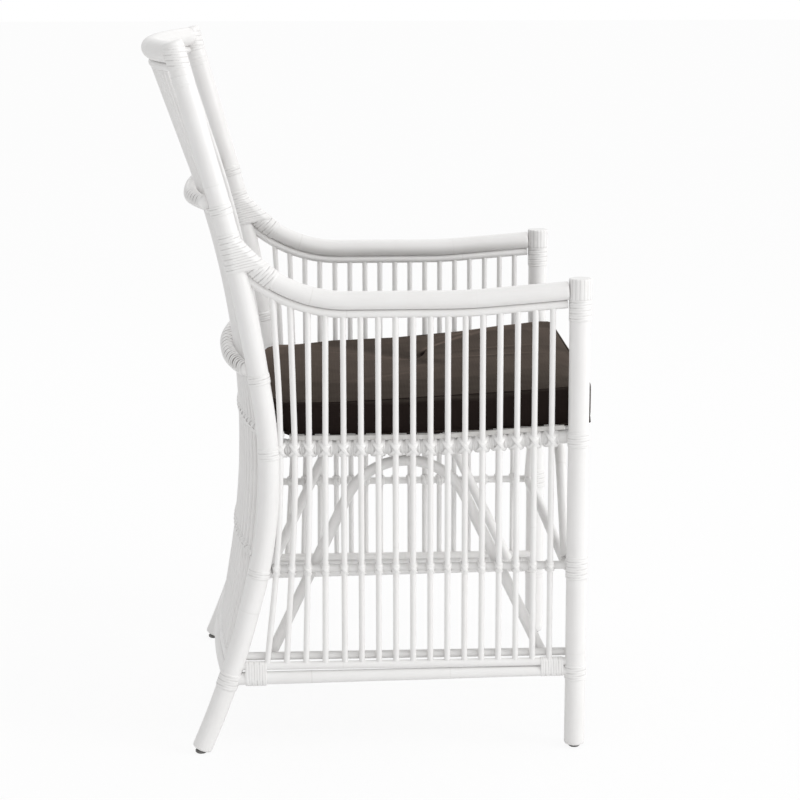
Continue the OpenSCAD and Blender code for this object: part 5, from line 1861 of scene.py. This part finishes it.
@dataclass
class Studio:
    """Floor, light and the camera of the photo's view."""

    eye: tuple[float, float, float] = (-3.22661, 0.38079, 1.08186)
    yaw: float = -2.738
    pitch: float = -11.329
    roll: float = -0.076
    lens: float = 102.375

    def camera(self) -> None:
        """Creates the camera: right and up are turned about the line of sight by the roll."""
        yaw, pitch, roll = (math.radians(v) for v in (self.yaw, self.pitch, self.roll))
        ahead = Vector((math.cos(yaw) * math.cos(pitch), math.sin(yaw) * math.cos(pitch), math.sin(pitch)))
        right = Vector((math.sin(yaw), -math.cos(yaw), 0.0))
        up = right.cross(ahead)
        turned = right * math.cos(roll) + up * math.sin(roll)
        risen = up * math.cos(roll) - right * math.sin(roll)
        data = bpy.data.cameras.new("photo_camera")
        data.lens = self.lens
        data.sensor_width = 36.0
        obj = bpy.data.objects.new("photo_camera", data)
        spot = Vector(self.eye) + Vector((0, LEG_AXIS_Y, 0))
        obj.matrix_world = Matrix(((turned.x, risen.x, -ahead.x, spot.x),
                                   (turned.y, risen.y, -ahead.y, spot.y),
                                   (turned.z, risen.z, -ahead.z, spot.z), (0, 0, 0, 1)))
        bpy.context.scene.collection.objects.link(obj)
        bpy.context.scene.camera = obj

    def floor(self) -> None:
        """A wide pale floor, which the camera sees as white apart from the chair's shadow."""
        mesh = bpy.data.meshes.new("floor")
        mesh.from_pydata([(-30, -30, 0), (30, -30, 0), (30, 30, 0), (-30, 30, 0)], [], [(0, 1, 2, 3)])
        obj = bpy.data.objects.new("floor", mesh)
        bpy.context.scene.collection.objects.link(obj)
        g = Paint("floor_paper")
        speck = g.noise(g.coordinates((1.0, 1.0, 1.0), False), 3.0, 2.0)
        g.feed(Base_Color=g.blend(speck, (0.90, 0.90, 0.90), (0.88, 0.88, 0.88)), Roughness=0.9,
               Specular_IOR_Level=0.1)
        glow = g.node("ShaderNodeEmission", {}, {"Color": (1, 1, 1, 1), "Strength": 1.0})
        seen = g.node("ShaderNodeLightPath", {}, {}, "Is Camera Ray")
        paper = Value(g, g.shader.outputs[0])
        surface = g.node("ShaderNodeMixShader", {}, {0: seen * 0.9, 1: paper, 2: glow})
        g.show(surface, "Material Output")
        mesh.materials.append(g.material)

    def lamp(self, name: str, spot: tuple[float, float, float], size: float, power: float) -> None:
        """Adds one soft square lamp that is aimed at the middle of the chair.

        Args:
            name: the lamp's name.
            spot: its place.
            size: length of its side.
            power: its power in watts.
        """
        data = bpy.data.lights.new(name, "AREA")
        data.size = size
        data.energy = power
        obj = bpy.data.objects.new(name, data)
        obj.location = spot
        obj.rotation_euler = (Vector((0, 0, 0.45)) - Vector(spot)).to_track_quat("-Z", "Y").to_euler()
        bpy.context.scene.collection.objects.link(obj)

    def world(self) -> None:
        """Makes a world that is brighter in front than behind, and white where the camera looks past."""
        world = bpy.data.worlds.new("studio")
        bpy.context.scene.world = world
        world.use_nodes = True
        g = Graph(world.node_tree)
        rear, front, backdrop = (
            g.node("ShaderNodeBackground", {}, {"Color": (1, 1, 1, 1), "Strength": strength})
            for strength in (0.62, 1.08, 1.0))
        way = g.node("ShaderNodeTexCoord", {}, {}, "Generated")
        ahead = g.node("ShaderNodeSeparateXYZ", {}, {0: way}, "Y")
        depth = g.node("ShaderNodeMapRange", {}, {"Value": ahead, "From Min": -1.0}, "Result")
        sky = g.node("ShaderNodeMixShader", {}, {0: depth, 1: front, 2: rear})
        seen = g.node("ShaderNodeLightPath", {}, {}, "Is Camera Ray")
        g.show(g.node("ShaderNodeMixShader", {}, {0: seen, 1: sky, 2: backdrop}), "World Output")

    def build(self) -> None:
        """Sets up the world, the lamps, the floor and the view."""
        bpy.context.scene.view_settings.view_transform = "Standard"
        self.world()
        self.lamp("key_lamp", (-2.2, -4.2, 2.6), 2.4, 90.0)
        self.lamp("rear_lamp", (2.6, 0.4, 2.6), 2.0, 8.0)
        self.floor()
        self.camera()


# Assembly


def dress_solids() -> None:
    """Gives the solids that stay in view their finishes."""
    nodes = frame["nodes"]
    kept = {"upper_bow_rail": Finish.CANE, "lower_bow_rail": Finish.CANE, "seat_slats": Finish.SLAT,
            "seat_edge_strips": Finish.SLAT, "glides": Finish.GLIDE, "joint_screws": Finish.STEEL}
    for name, finish in kept.items():
        mesh = nodes[name].data
        mesh.materials.clear()
        mesh.materials.append(finish.material())


def main() -> None:
    """Builds the chair's looks in order."""
    logging.basicConfig(level=logging.INFO, format="%(name)s: %(message)s")
    Studio().build()
    for side in Side:
        SideFrame(side).build()
    FrontFrame().build()
    back = BackPanel()
    back.build()
    Bindings(back).build()
    Cushion().build()
    dress_solids()


if __name__ == "__main__":
    main()
